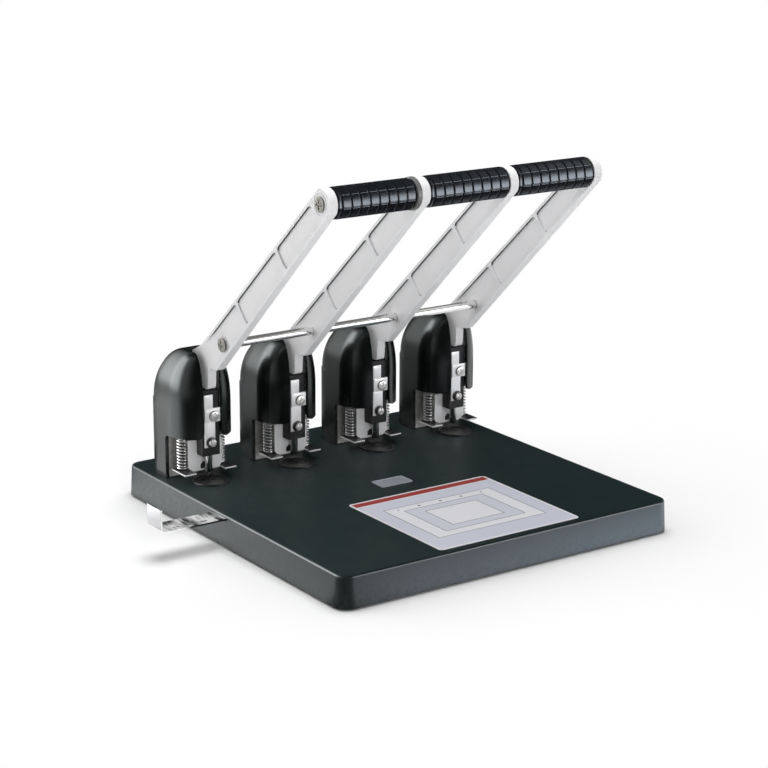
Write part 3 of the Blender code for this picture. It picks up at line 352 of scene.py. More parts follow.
# One row for each finish: colours are linear, scales are per metre, bump heights in metres
finishValues = {
    "shellPaint": dict(colour=(0.007, 0.011, 0.011), other=(0.009, 0.014, 0.014), patch=9, rough=(0.30, 0.35),
                       roughScale=45, bumpScale=1900, wear=0.35, wearColour=(0.16, 0.17, 0.17), dust=0.005,
                       specular=0.55, tint=(0.94, 0.98, 1.0)),
    # painted light: a lighter, bluer copy of the shell's paint with less sheen for the deck top, set to how the top
    # shows under the lamps
    "deckPaintLitCopy": dict(colour=(0.010, 0.018, 0.018), other=(0.013, 0.022, 0.022), patch=9, rough=(0.42, 0.47),
                      roughScale=45, bumpScale=1900, wear=0.2, wearColour=(0.10, 0.11, 0.11), dust=0.005,
                      specular=0.16, tint=(0.90, 0.98, 1.0)),
    "hoodGloss": dict(colour=(0.0025, 0.0032, 0.0032), other=(0.004, 0.005, 0.005), patch=22, rough=(0.20, 0.25),
                      roughScale=60, bumpScale=420, wear=0.25, wearColour=(0.06, 0.065, 0.065), dust=0.008,
                      tint=(0.93, 1.0, 1.0)),
    "discBlack": dict(colour=(0.006, 0.0065, 0.007), other=(0.008, 0.0085, 0.009), patch=60, rough=(0.30, 0.34),
                      roughScale=90, bumpScale=900, bumpHeight=1e-6, wear=0.05, wearColour=(0.06, 0.06, 0.065),
                      dust=0.008),
    "zincPlate": dict(colour=(0.92, 0.92, 0.93), other=(0.96, 0.96, 0.97), patch=160, rough=(0.18, 0.26),
                      roughScale=500, stretch=(1, 1, 0.3), bumpScale=2600, bumpHeight=4e-6, metal=0.15, wear=0.2,
                      wearColour=(0.92, 0.92, 0.93), dust=0.01),
    # painted shade: a dark steel laid on faces that sit in shade or mirror dark surroundings
    "paintedShadeSteel": dict(colour=(0.035, 0.035, 0.036), other=(0.05, 0.05, 0.052), patch=200, rough=(0.30, 0.42),
                       roughScale=500, bumpScale=2400, bumpHeight=4e-6, metal=0.5),
    "springWire": dict(colour=(0.74, 0.74, 0.73), other=(0.82, 0.82, 0.81), patch=300, rough=(0.14, 0.24),
                       roughScale=700, bumpScale=2600, bumpHeight=4e-6, metal=0.7),
    "ramBlack": dict(colour=(0.004, 0.004, 0.0045), other=(0.008, 0.008, 0.009), patch=120, rough=(0.30, 0.42),
                     roughScale=300, bumpScale=1300, bumpHeight=2e-5, wear=0.3, wearColour=(0.06, 0.06, 0.065),
                     dust=0.004, specular=0.25),
    # painted shade: the frame's zinc is painted dark, as it stands in the shade inside the hood
    "frameZinc": dict(colour=(0.30, 0.295, 0.28), other=(0.40, 0.39, 0.375), patch=60, rough=(0.34, 0.46),
                      roughScale=300, stretch=(1, 1, 0.3), bumpScale=2000, bumpHeight=8e-6, metal=0.45, wear=0.5,
                      wearColour=(0.80, 0.80, 0.78)),
    "screwSteel": dict(colour=(0.50, 0.495, 0.48), other=(0.62, 0.615, 0.60), patch=600, rough=(0.22, 0.34),
                       roughScale=900, bumpScale=2400, metal=0.6, wear=0.6, wearColour=(0.80, 0.80, 0.78)),
    "dullScrew": dict(colour=(0.20, 0.195, 0.17), other=(0.40, 0.39, 0.36), patch=500, rough=(0.35, 0.45),
                      roughScale=900, bumpScale=2400, wear=0.6, wearColour=(0.70, 0.70, 0.67), specular=0.12),
    # painted shade in the arms' sunk panels: a grey for cross walls and the hub groove, a dark one for the long walls
    "castRibPaintedShade": dict(colour=(0.58, 0.58, 0.59), other=(0.64, 0.64, 0.65), patch=200, rough=(0.5, 0.65),
                    roughScale=500, bumpScale=1700, bumpHeight=3e-5, metal=0.1),
    "castPaintedShade": dict(colour=(0.06, 0.06, 0.065), other=(0.10, 0.10, 0.105), patch=200, rough=(0.55, 0.7),
                      roughScale=500, bumpScale=1700, bumpHeight=3e-5, metal=0.1),
    "punchSteel": dict(colour=0.30, other=0.36, patch=120, rough=(0.08, 0.16), roughScale=500, stretch=(1, 1, 0.2),
                       bumpScale=2400, bumpHeight=4e-6, metal=1.0, wear=0.3, wearColour=0.9),
    "groundSteel": dict(colour=(0.66, 0.66, 0.65), other=(0.76, 0.76, 0.75), patch=120, rough=(0.10, 0.22),
                        roughScale=500, stretch=(1, 1, 0.2), bumpScale=2400, bumpHeight=6e-6, metal=1.0, wear=0.3,
                        wearColour=0.9),
    "castSilver": dict(colour=(0.84, 0.84, 0.85), other=(0.87, 0.87, 0.88), patch=35, rough=(0.30, 0.38),
                       roughScale=900, bumpScale=1700, wear=0.3, wearColour=(0.85, 0.85, 0.86), dust=0.01,
                       specular=0.08),
    "gripRubber": dict(colour=(0.004, 0.005, 0.007), other=(0.007, 0.008, 0.010), patch=80, rough=(0.20, 0.28),
                       roughScale=240, bumpScale=2200, bumpHeight=3e-5, wear=0.8, wearColour=(0.20, 0.21, 0.23),
                       dust=0.01, specular=0.6, tint=(0.78, 0.88, 1.0)),
    "collarPlastic": dict(colour=0.13, other=0.17, patch=150, rough=(0.38, 0.5), roughScale=300, bumpScale=1600,
                          bumpHeight=2e-5, wear=0.2, wearColour=0.3, dust=0.05),
    "brightChrome": dict(colour=(0.78, 0.775, 0.755), other=(0.84, 0.835, 0.81), patch=60, rough=(0.05, 0.13),
                         roughScale=400, stretch=(0.1, 1, 1), bumpScale=1400, bumpHeight=5e-6, metal=0.85, wear=0.3,
                         wearColour=0.9, dust=0.01),
    "chromeFace": dict(colour=(0.46, 0.46, 0.47), other=(0.52, 0.52, 0.53), patch=60, rough=(0.10, 0.18),
                       roughScale=400, stretch=(1, 0.1, 1), bumpScale=1400, bumpHeight=3e-6, metal=0.9, wear=0.3,
                       wearColour=0.6),
    # painted reflection: dark and light streaks that stand in for the wall mirrored in the strip's top
    "chromePaintedReflection": dict(colour=(0.02, 0.024, 0.024), other=0.84, patch=150, contrast=1.8, rough=(0.14, 0.24),
                       roughScale=300, stretch=(1, 0.25, 1), bumpScale=300, bumpHeight=6e-5, metal=0.2,
                       specular=0.3),
    "satinPlate": dict(colour=(0.33, 0.36, 0.41), other=(0.38, 0.41, 0.46), patch=200, rough=(0.26, 0.36),
                       roughScale=900, stretch=(0.05, 1, 1), bumpScale=1800, bumpHeight=6e-6, metal=0.4, wear=0.3,
                       wearColour=(0.85, 0.86, 0.87), dust=0.05),
    "stickerPrint": dict(colour=(0.70, 0.70, 0.72), other=(0.76, 0.76, 0.78), patch=30, rough=(0.36, 0.48),
                         roughScale=120, bumpScale=900, dust=0.06, specular=0.12),
    "coverPlastic": dict(colour=0.026, other=0.036, patch=40, rough=(0.55, 0.72), roughScale=120, bumpScale=1100,
                         bumpHeight=6e-5),
    "footRubber": dict(colour=0.013, other=(0.022, 0.022, 0.021), patch=150, rough=(0.7, 0.88), roughScale=200,
                       bumpScale=1500, bumpHeight=5e-5),
}
dustColour = (0.33, 0.32, 0.30)


def makeFinish(name, colour, other, patch, rough, roughScale, bumpScale, bumpHeight=1e-5, stretch=(1, 1, 1),
               contrast=1.0, wear=0.0, wearColour=0.9, dust=0.0, metal=0.0, specular=0.5, tint=1.0):
    made = bpy.data.materials.new(name)
    made.use_nodes = True
    tree, surface = made.node_tree, principled(made.node_tree)
    patches = groupNode(tree, grainGroup, Scale=patch, Detail=3.0, Stretch=stretch, Low=0.5 - contrast / 2,
                        High=0.5 + contrast / 2)["Value"]
    paint = mixColour(tree, patches, colour, other)
    if wear:
        paint = mixColour(tree, groupNode(tree, wearGroup, Amount=wear)["Mask"], paint, wearColour)
    if dust:
        paint = mixColour(tree, groupNode(tree, dustGroup, Amount=dust)["Mask"], paint, dustColour)
    tree.links.new(paint, surface["Base Color"])
    gloss = groupNode(tree, grainGroup, Scale=roughScale, Detail=5.0, Stretch=stretch, Low=rough[0], High=rough[1])
    tree.links.new(gloss["Value"], surface["Roughness"])
    fine = groupNode(tree, grainGroup, Scale=bumpScale, Detail=2.0, Stretch=stretch)["Height"]
    bump = addNode(tree, "Bump", {"Height": fine, "Strength": 1.0, "Distance": bumpHeight})
    tree.links.new(bump.outputs[0], surface["Normal"])
    surface["Metallic"].default_value = metal
    surface["Specular IOR Level"].default_value = specular
    surface["Specular Tint"].default_value = rgba(tint)
    return made


finish = {name: makeFinish(name, **values) for name, values in finishValues.items()}


# rings cut by the lathe: height = sine of the distance from the disc's axis, kept in a point attribute
def addTurningMarks(material, pitch, height):
    tree = material.node_tree
    away = addNode(tree, "Attribute", attribute_name="fromAxis").outputs["Fac"]
    wave = maths(tree, "SINE", maths(tree, "MULTIPLY", away, 2 * math.pi / pitch))
    normal = principled(tree)["Normal"]
    rings = addNode(tree, "Bump", {"Height": wave, "Distance": height, "Strength": 1.0,
                                   "Normal": normal.links[0].from_socket})
    tree.links.new(rings.outputs[0], normal)


def markFromAxis(mesh, centre):
    away = np.linalg.norm(arrayOf(mesh.vertices, "co")[:, :2] - np.asarray(centre)[:2], axis=1)
    mesh.attributes.new("fromAxis", "FLOAT", "POINT").data.foreach_set("value", away.astype(np.float32))


addTurningMarks(finish["discBlack"], 0.0011, 0.000003)

# The sticker: a plain band along its back edge, three nested page outlines with four holes, and ticks at the front
sticker = {"band": (0.30, 0.045, 0.040), "line": (0.16, 0.17, 0.19), "tint": (0.52, 0.55, 0.58), "bandDepth": 0.0075,
           "field": (0.56, 0.57, 0.65), "margin": 0.0018, "pages": ((0.050, 0.036), (0.037, 0.027), (0.024, 0.018)),
           "pageTints": ((0.72, 0.72, 0.75), (0.58, 0.59, 0.66), (0.72, 0.72, 0.75)), "lineWidth": 0.0007,
           "pageShift": -0.002, "gap": 0.0005, "hole": 0.0013, "holePitch": 0.020, "holeIn": 0.0065,
           "tickPitch": 0.004, "tickStrip": (0.010, 0.0018, 0.008)}


# each mask is 1 where a distance worked out from the position stays under a limit
def printSticker(material):
    tree = material.node_tree
    low, high, middle = boxOf("label")
    half = (high - low) / 2
    where = addNode(tree, "Mapping", {"Vector": objectPlace(tree), "Location": (-middle.x, -middle.y, 0)}).outputs[0]
    parts = addNode(tree, "SeparateXYZ", {0: where}).outputs
    x, y = parts["X"], parts["Y"]

    def calc(operation, *values):
        return maths(tree, operation, *values)

    def size(value):
        return calc("ABSOLUTE", value)

    def inside(halfX, halfY, shiftY):
        return calc("MAXIMUM", calc("SUBTRACT", size(x), halfX),
                    calc("SUBTRACT", size(calc("SUBTRACT", y, shiftY)), halfY))

    def under(value, limit):
        return calc("LESS_THAN", value, limit)

    wide, bandHalf, gap = half.x - sticker["margin"], sticker["bandDepth"] / 2, sticker["gap"]
    lineHalf, holeHalf = sticker["lineWidth"] / 2, sticker["holePitch"] / 2
    printed = [(under(inside(wide, bandHalf, half.y - sticker["margin"] - bandHalf), 0.0), sticker["band"]),
               (under(inside(wide, half.y - sticker["margin"] - bandHalf - gap, -bandHalf - gap), 0.0),
                sticker["field"])]
    for (halfX, halfY), tint in zip(sticker["pages"], sticker["pageTints"]):
        edge = inside(halfX, halfY, sticker["pageShift"])
        printed += [(under(edge, 0.0), tint), (under(size(edge), lineHalf), sticker["line"])]
    across = calc("SUBTRACT", calc("PINGPONG", calc("ADD", x, holeHalf), holeHalf), holeHalf)
    up = calc("SUBTRACT", y, sticker["pages"][0][1] - sticker["holeIn"])
    away = calc("SQRT", calc("ADD", calc("POWER", across, 2.0), calc("POWER", up, 2.0)))
    holes = calc("MULTIPLY", under(away, sticker["hole"]), under(size(x), sticker["holePitch"] * 2))
    inX, halfY, inY = sticker["tickStrip"]
    tick = under(calc("PINGPONG", x, sticker["tickPitch"] / 2), lineHalf)
    ticks = calc("MULTIPLY", tick, under(inside(half.x - inX, halfY, -half.y + inY), 0.0))
    printed += [(holes, sticker["line"]), (ticks, sticker["tint"])]
    base = principled(tree)["Base Color"]
    colour = base.links[0].from_socket
    for mask, tint in printed:
        colour = mixColour(tree, mask, colour, tint)
    tree.links.new(colour, base)


printSticker(finish["stickerPrint"])
print("finishes made:", len(finish))


# Base: a wall profile carried round a rectangle with round corners

base = {"corner": 0.0115, "leastCorner": 0.0005, "draft": 0.00135, "edge": 0.0018, "wall": 0.0028, "deckThick": 0.0019,
        "foot": 0.0013, "height": 0.0247, "rim": 0.0004, "cornerSteps": 14, "edgeSteps": 6, "overrun": 0.004,
        "cup": 0.0149, "cupDepth": 0.0039, "cupFloor": 0.0016, "cupWall": 0.0026, "cupInto": 0.0001,
        "slotOut": 0.01, "slotIn": 0.012, "slotSide": 0.0003, "slotUnder": 0.0011, "slotOver": 0.0017,
        "slotRound": 0.0002, "deckBand": 0.0005}


# one ring: the outline drawn in by inset, at one height
def rectangleRing(low, high, inset, corner, z, steps):
    radius = max(corner - inset, base["leastCorner"])
    turn = fourCorners(steps)
    right, left = high.x - inset - radius, low.x + inset + radius
    back, front = high.y - inset - radius, low.y + inset + radius
    middleX = np.repeat([right, left, left, right], steps + 1)
    middleY = np.repeat([back, back, front, front], steps + 1)
    return np.stack([middleX + radius * np.cos(turn), middleY + radius * np.sin(turn), 0 * turn + z], -1)


def makeBase():
    low, high, _ = boxOf("base_shell")
    slope = base["draft"] / base["height"]
    bottom, top = base["foot"], deckTop
    edgeZ = top - base["edge"]
    lean = slope * (edgeZ - bottom)
    under = top - base["deckThick"]
    bend = np.linspace(0, np.pi / 2, base["edgeSteps"] + 1)
    wall = [(base["wall"] + slope * (under - bottom), under), (base["wall"], bottom + base["rim"]),
            (base["wall"] - base["rim"], bottom), (base["rim"], bottom), (0, bottom + base["rim"])]
    wall += [(lean + base["edge"] * (1 - math.cos(t)), edgeZ + base["edge"] * math.sin(t)) for t in bend]
    rings = [rectangleRing(low, high, inset, base["corner"], z, base["cornerSteps"]) for inset, z in wall]
    shell = meshOf("baseBody", skin(np.stack(rings)), 0)
    r, past = base["cup"], base["overrun"]
    bore = [(0, under - past), (r, under - past), (r, top + past), (0, top + past)]
    cutters = [meshOf("bore", turned(bore, (*headPlace[n][:2], 0)), 0) for n in headNumbers]
    guideLow, guideHigh, _ = boxOf("paper_guide")
    cutters.append(meshOf("slot", softBox(
        (low.x - base["slotOut"], guideLow.y - base["slotSide"], guideLow.z - base["slotUnder"]),
        (low.x + base["slotIn"], guideHigh.y + base["slotSide"], guideLow.z + base["slotOver"]), base["slotRound"]), 0))
    made = shadeSmooth(carved(shell, cutters), 38)
    floor, start = deckTop - base["cupDepth"], under + base["cupInto"]
    below, wide = floor - base["cupFloor"], r + base["cupWall"]
    cup = [(r, start), (r, floor), (0, floor), (0, below), (wide, below), (wide, start), (r, start)]
    cups = [turned(cup, (*headPlace[n][:2], 0), steps=48, capped=False) for n in headNumbers]
    bm = bmesh.new()
    bm.from_mesh(made)
    bm.from_mesh(meshOf("cups", together(*cups)))
    bm.to_mesh(made)
    bm.free()
    made.materials.append(finish["shellPaint"])
    # painted light: the deck's top faces take the lighter copy of the shell's paint
    faceFinish(made, finish["deckPaintLitCopy"],
               lambda normal, middle: (normal[:, 2] > 0.95) & (middle[:, 2] > deckTop - base["deckBand"]))
    addPiece("baseBody", made, "shellPaint", "base", ["base_shell"])


makeBase()
for kind, which in (("base_cover", "coverPlastic"), ("foot_", "footRubber"), ("label", "stickerPrint"),
                    ("pivot_", "groundSteel")):
    for node in ([kind + str(n) for n in headNumbers] if kind.endswith("_") else [kind]):
        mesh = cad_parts[node].data
        mesh.materials.clear()
        mesh.materials.append(finish[which])
print("base is made")

# Name plate: blank, with a raised border; each row is how far in and how far under the top
plate = {"corner": 0.0014, "steps": 8, "rows": ((0.0, 0.0002), (0.0002, 0), (0.0010, 0), (0.0014, 0.0004))}


def makeNamePlate():
    low, high, _ = boxOf("name_plate")
    rows = [(0.0, low.z)] + [(inset, high.z - drop) for inset, drop in plate["rows"]]
    rings = [rectangleRing(low, high, inset, plate["corner"], z, plate["steps"]) for inset, z in rows]
    addPiece("blankPlate", meshOf("blankPlate", skin(np.stack(rings)), 30), "satinPlate", "base", ["name_plate"])


makeNamePlate()

# Cutting discs: a raised rim, a shallow face and a pip in the middle
disc = {"radius": 0.0146, "proud": 0.0013, "depth": 0.0036, "rim": 0.0021, "rimFoot": 0.0005, "step": 0.0003,
        "ledge": (0.0092, 0.0089), "face": 0.0007, "pip": (0.0014, 0.0010), "round": 0.0006}
for n in headNumbers:
    name = "cuttingDisc_%d" % n
    r, top, inner = disc["radius"], disc["proud"], disc["radius"] - disc["rim"]
    ledge, face = top - disc["step"], top - disc["face"]
    line = [(0, -disc["depth"]), (r, -disc["depth"]), (r, top), (inner, top), (inner - disc["rimFoot"], ledge),
            (disc["ledge"][0], ledge), (disc["ledge"][1], face), (disc["pip"][0], face),
            (disc["pip"][1], face - disc["step"]), (0, face - disc["step"])]
    mesh = meshOf(name, turned(roundCorners(line, disc["round"], 5), headPlace[n], steps=96), 50)
    markFromAxis(mesh, headPlace[n])
    addPiece(name, mesh, "discBlack", "disc_%d" % n, ["disc_%d" % n])
print("discs are made")

# Hoods: rings of a rounded rectangle, drawn in as a quarter ellipse over the shoulder and left open at the front
hood = {"half": 0.0266, "front": 0.0057, "back": 0.0625, "shoulder": 0.0625, "top": 0.1046, "sideIn": 0.0186,
        "frontIn": 0.0101, "backIn": 0.0425, "backRound": 0.0294, "leastRound": 0.0011, "step": 0.0007,
        "stepFrom": 0.034, "stepTo": 0.047, "slot": 0.0085, "lip": 0.0363, "mouthBack": 0.0258, "wall": 0.0022,
        "lipRound": 0.0050, "mouthRound": 0.0042, "lipEdge": 0.0008, "topLimit": 0.965, "spare": 0.0003,
        "foot": 0.0003}


# outline at one height from the front's middle round the right side, back and left side, as points in order
def hoodOutline(height, steps=60):
    rise = min(1.0, max(0.0, (height - hood["shoulder"]) / (hood["top"] - hood["shoulder"])))
    draw = 1 - math.sqrt(1 - rise * rise)
    half = hood["half"] - hood["sideIn"] * draw
    front = -hood["front"] + hood["frontIn"] * draw
    back = hood["back"] - hood["backIn"] * draw
    frontRound = hood["half"] - (hood["sideIn"] + hood["frontIn"]) * draw / 2
    frontRound = min(half - hood["spare"], max(hood["leastRound"], frontRound))
    backRound = hood["backRound"] - (hood["sideIn"] + hood["backIn"]) * draw / 2
    backRound = min(half - hood["spare"], max(hood["leastRound"], backRound), back - front - frontRound - hood["spare"])
    turn = np.linspace(0, np.pi / 2, steps)
    corners = []
    for x, y, radius, start in ((half, front, frontRound, -0.5), (half, back, backRound, 0.0),
                                (-half, back, backRound, 0.5), (-half, front, frontRound, 1.0)):
        angle = turn + np.pi * start
        centreY = y + radius if y == front else y - radius
        corners.append(np.stack([math.copysign(half - radius, x) + radius * np.cos(angle),
                                 centreY + radius * np.sin(angle)], -1))
    line = np.concatenate([[[0, front]], *corners, [[0, front]]])
    # the skirt under the shoulder stands out by a step that fades towards the front
    skirt = hood["step"] * min(1.0, max(0.0, (hood["shoulder"] - hood["step"] - height) / hood["step"]))
    share = np.clip((line[:, 1] - hood["stepFrom"]) / (hood["stepTo"] - hood["stepFrom"]), 0, 1)
    line[:, 0] += np.sign(line[:, 0]) * skirt * share * share * (3 - 2 * share)
    line[:, 1] += skirt * np.clip((line[:, 1] - hood["stepTo"]) / (hood["back"] - hood["stepTo"]), 0, 1)
    return line


# the mouth's back edge comes forward in a quarter circle below the lip
def mouthEdge(height):
    r = hood["mouthRound"]
    up = max(0.0, height - (hood["lip"] - r))
    return hood["mouthBack"] - (r - math.sqrt(max(0.0, r * r - up * up)))


# length along an outline, and where along it the slot and the mouth start
def alongOutline(line, height):
    run = np.concatenate([[0], np.cumsum(np.linalg.norm(np.diff(line, axis=0), axis=1))])
    quarter = len(line) // 2
    return (run, np.interp(hood["slot"], line[:quarter // 2, 0], run[:quarter // 2]),
            np.interp(mouthEdge(height), line[:quarter, 1], run[:quarter]))


# one row of the hood: shares of the way from the right lip to the left lip, read off the outline
def hoodRow(height, shares, fromMouth):
    line = hoodOutline(max(height, 0.0))
    run, toSlot, toMouth = alongOutline(line, height)
    start = toMouth if fromMouth else toSlot
    spots = start + (run[-1] - 2 * start) * shares
    return np.stack([np.interp(spots, run, line[:, 0]), np.interp(spots, run, line[:, 1]), 0 * shares + height], -1)


def makeHoodSkin():
    run, toSlot, toMouth = alongOutline(hoodOutline(hood["lip"]), hood["lip"])
    whole = run[-1] - 2 * toSlot
    mouth = (toMouth - toSlot) / whole
    front = mouth * (1 - np.cos(np.linspace(0, np.pi, 22))) / 2  # closer together at both ends
    rear = np.linspace(mouth, 1 - mouth, 60)
    shares = np.concatenate([front, rear[1:-1], 1 - front[::-1]])
    first, last = len(front) - 1, len(front) + len(rear) - 2
    low = np.concatenate([np.linspace(hood["foot"], hood["lip"] - hood["mouthRound"], 8)[:-1],
                          hood["lip"] - hood["mouthRound"] * (1 - np.sin(np.linspace(0, np.pi / 2, 10)[:-1]))])
    straight = np.concatenate([np.linspace(hood["lip"], hood["shoulder"] - hood["step"] * 2, 12),
                               [hood["shoulder"] - hood["step"], hood["shoulder"]]])
    dome = hood["top"] - hood["shoulder"]
    limit = math.sqrt(1 - (1 - hood["topLimit"]) ** 2)
    rising = hood["shoulder"] + dome * np.sin(np.linspace(0, math.asin(limit), 34)[1:])
    upper = np.stack([hoodRow(z, shares, False) for z in [*straight, *rising]])
    # the front's lower corners are round: the lowest row lifts near the slot
    away = np.minimum(shares, 1 - shares) * whole
    r = hood["lipRound"]
    lift = r - np.sqrt(np.maximum(0, r * r - np.maximum(0, r - away) ** 2))
    fade = np.clip(1 - (upper[:, :1, 2] - hood["lip"]) / (hood["shoulder"] - hood["lip"]), 0, 1)
    upper[:, :, 2] += lift * fade
    lowerShares = (shares[first:last + 1] - mouth) / (1 - 2 * mouth)
    lower = np.stack([hoodRow(z, lowerShares, True) for z in low])
    return together(skin(upper, closed=False, capped=False),
                    skin(np.concatenate([lower, upper[:1, first:last + 1]]), closed=False, capped=False))


hoodShape = makeHoodSkin()
for n in headNumbers:
    name = "hoodDome_%d" % n
    piece = addPiece(name, meshOf(name, hoodShape, 0, headPlace[n]), "hoodGloss", "base", ["hood_%d" % n])
    thick = piece.modifiers.new("wall", "SOLIDIFY")
    thick.thickness = hood["wall"]
    thick.offset = -1
    thick.use_even_offset = True
    softEdges(piece, hood["lipEdge"], 3, 50.0)
print("hoods are made")

# Sheet metal and blocks: copies of the imported shapes with round edges
# node, piece, finish, body, slot and width of the round edge
# painted shade: the frames take the darkened zinc
copies = (("frame_%d", "frameSheet_%d", "frameZinc", "base", "zinc", 0.00025),
          ("stripper_%d", "stripperPlate_%d", "zincPlate", "base", "zinc", 0.00025),
          ("ram_%d", "ramBlock_%d", "ramBlack", "ram_%d", "ram_black", 0.0004))
stripper = {"flatTop": 0.0095, "postReach": 0.0026}
for n in headNumbers:
    for node, name, which, body, slot, width in copies:
        name, body = name % n, body.replace("%d", str(n))
        mesh = copyOf(node % n, name)
        mesh.materials.append(finish[which])
        if node == "stripper_%d":
            # painted shade: the stripper's flat tops below flatTop and the posts inside the springs take the dark
            # steel, as they lie in shade or mirror the dark hood
            flatTop, post = headPlace[n][2] + stripper["flatTop"], boxOf("spring_left_%d" % n)[2]
            faceFinish(mesh, finish["paintedShadeSteel"],
                       lambda normal, middle: (normal[:, 2] > 0.9) & (middle[:, 2] < flatTop))
            faceFinish(mesh, finish["paintedShadeSteel"], lambda normal, middle: np.hypot(
                middle[:, 0] - post.x, middle[:, 1] - post.y) < stripper["postReach"])
        softEdges(addPiece(name, mesh, which, body, [node % n]), width)

# Paper guide: a strip bent up at its outer end, with four short slots near its front edge
guide = {"thick": 0.0014, "bend": 0.0044, "slotFirst": 0.0154, "slotPitch": 0.0120, "slotLong": 0.0030,
         "slotWide": 0.0010, "slotIn": 0.0050, "slotRound": 0.0009, "slotUnder": 0.002, "slotOver": 0.003,
         "edge": 0.0003, "rimLight": 0.020, "rimDark": 0.026, "flange": 0.002, "rimDepth": 0.0005}


# painted highlight and shade: colour = finish below "start", black above "end", by the position along X
def fadeToDark(material, start, end):
    tree = material.node_tree
    along = addNode(tree, "SeparateXYZ", {0: objectPlace(tree)}).outputs["X"]
    colour = principled(tree)["Base Color"]
    tree.links.new(mixColour(tree, ramp(tree, along, start, end), colour.links[0].from_socket, 0.01), colour)


def makeGuide():
    low, high, _ = boxOf("paper_guide")
    bend, thick = guide["bend"], guide["thick"]
    outer, inner = [arcPoints((low.x + bend, low.z + bend), radius, 180, 270, 8) for radius in (bend, bend - thick)]
    line = np.concatenate([[[low.x, high.z]], outer, [[high.x, low.z], [high.x, low.z + thick]], inner[::-1],
                           [[low.x + thick, high.z]]])
    rings = np.stack([np.stack([line[:, 0], 0 * line[:, 0] + y, line[:, 1]], -1) for y in (low.y, high.y)])
    cutters = []
    for n in range(4):
        x, y = low.x + guide["slotFirst"] + guide["slotPitch"] * n, low.y + guide["slotIn"]
        cutters.append(meshOf("guideSlot", softBox(
            (x - guide["slotLong"], y - guide["slotWide"], low.z - guide["slotUnder"]),
            (x + guide["slotLong"], y + guide["slotWide"], low.z + guide["slotOver"]), guide["slotRound"]), 0))
    mesh = shadeSmooth(carved(meshOf("guideStrip", skin(rings), 0), cutters), 0)
    mesh.materials.append(finish["chromeFace"])
    # painted reflection on the strip's top faces
    faceFinish(mesh, finish["chromePaintedReflection"],
               lambda normal, middle: (normal[:, 2] > 0.6) & (middle[:, 0] > low.x + guide["flange"]))
    # painted highlight and shade: the strip's front edge is bright near the flange and black further along
    rim = makeFinish("guideRimPaintedShade", **finishValues["zincPlate"])
    fadeToDark(rim, low.x + guide["rimLight"], low.x + guide["rimDark"])
    faceFinish(mesh, rim, lambda normal, middle: (normal[:, 1] < -0.7) & (middle[:, 1] < low.y + guide["rimDepth"]))
    softEdges(addPiece("guideStrip", mesh, "chromeFace", "guide", ["paper_guide"]), guide["edge"])


makeGuide()
print("sheet metal and rams are made")

# Lever arms: a cast plate with three sunk panels a side, drawn in y and z from the head's spot on the deck
arm = {"half": 0.0036, "hub": (-0.1645, 0.2488), "hubRadius": 0.0115, "backTop": 0.0098, "frontTop": 0.0111,
       "corner": (0.0048, 0.1113), "tail": (0.0199, 0.1032), "pivot": (0.0135, 0.0873), "tailRadius": 0.0098,
       "nose": (0.0, 0.0793), "noseRadius": 0.0035, "bend": (-0.0045, 0.0940), "chin": (-0.0168, 0.0949),
       "panelStart": 0.0112, "panelStop": 0.0016, "ramp": 0.0140, "ribShares": (0.306, 0.684), "rib": 0.0026,
       "margin": 0.0022, "panelRound": 0.0040, "panelDepth": 0.0014, "panelSlope": 0.0004, "edge": 0.0005,
       "hubGroove": (0.0076, 0.0081), "grooveDepth": 0.0003, "past": 0.001, "boreHalf": 0.006,
       "bores": (((-0.1645, 0.2488), 0.0053), ((-0.0265, 0.1173), 0.0037), ((0.0135, 0.0873), 0.0053))}


# rings of the same outline at several x, as (y, z) pairs
def stacked(rings):
    return skin(np.stack([np.concatenate([np.full((len(line), 1), x), line], 1) for x, line in rings]))


# pulls every corner of a closed outline in towards its middle line by an amount
def pulledIn(line, amount):
    ahead, behind = np.roll(line, -1, 0) - line, line - np.roll(line, 1, 0)
    along = ahead / np.linalg.norm(ahead, axis=1)[:, None] + behind / np.linalg.norm(behind, axis=1)[:, None]
    along /= np.linalg.norm(along, axis=1)[:, None]
    inward = np.stack([-along[:, 1], along[:, 0]], -1)
    area = np.sum(line[:, 0] * np.roll(line[:, 1], -1) - line[:, 1] * np.roll(line[:, 0], -1))
    return line + inward * amount * np.sign(area)


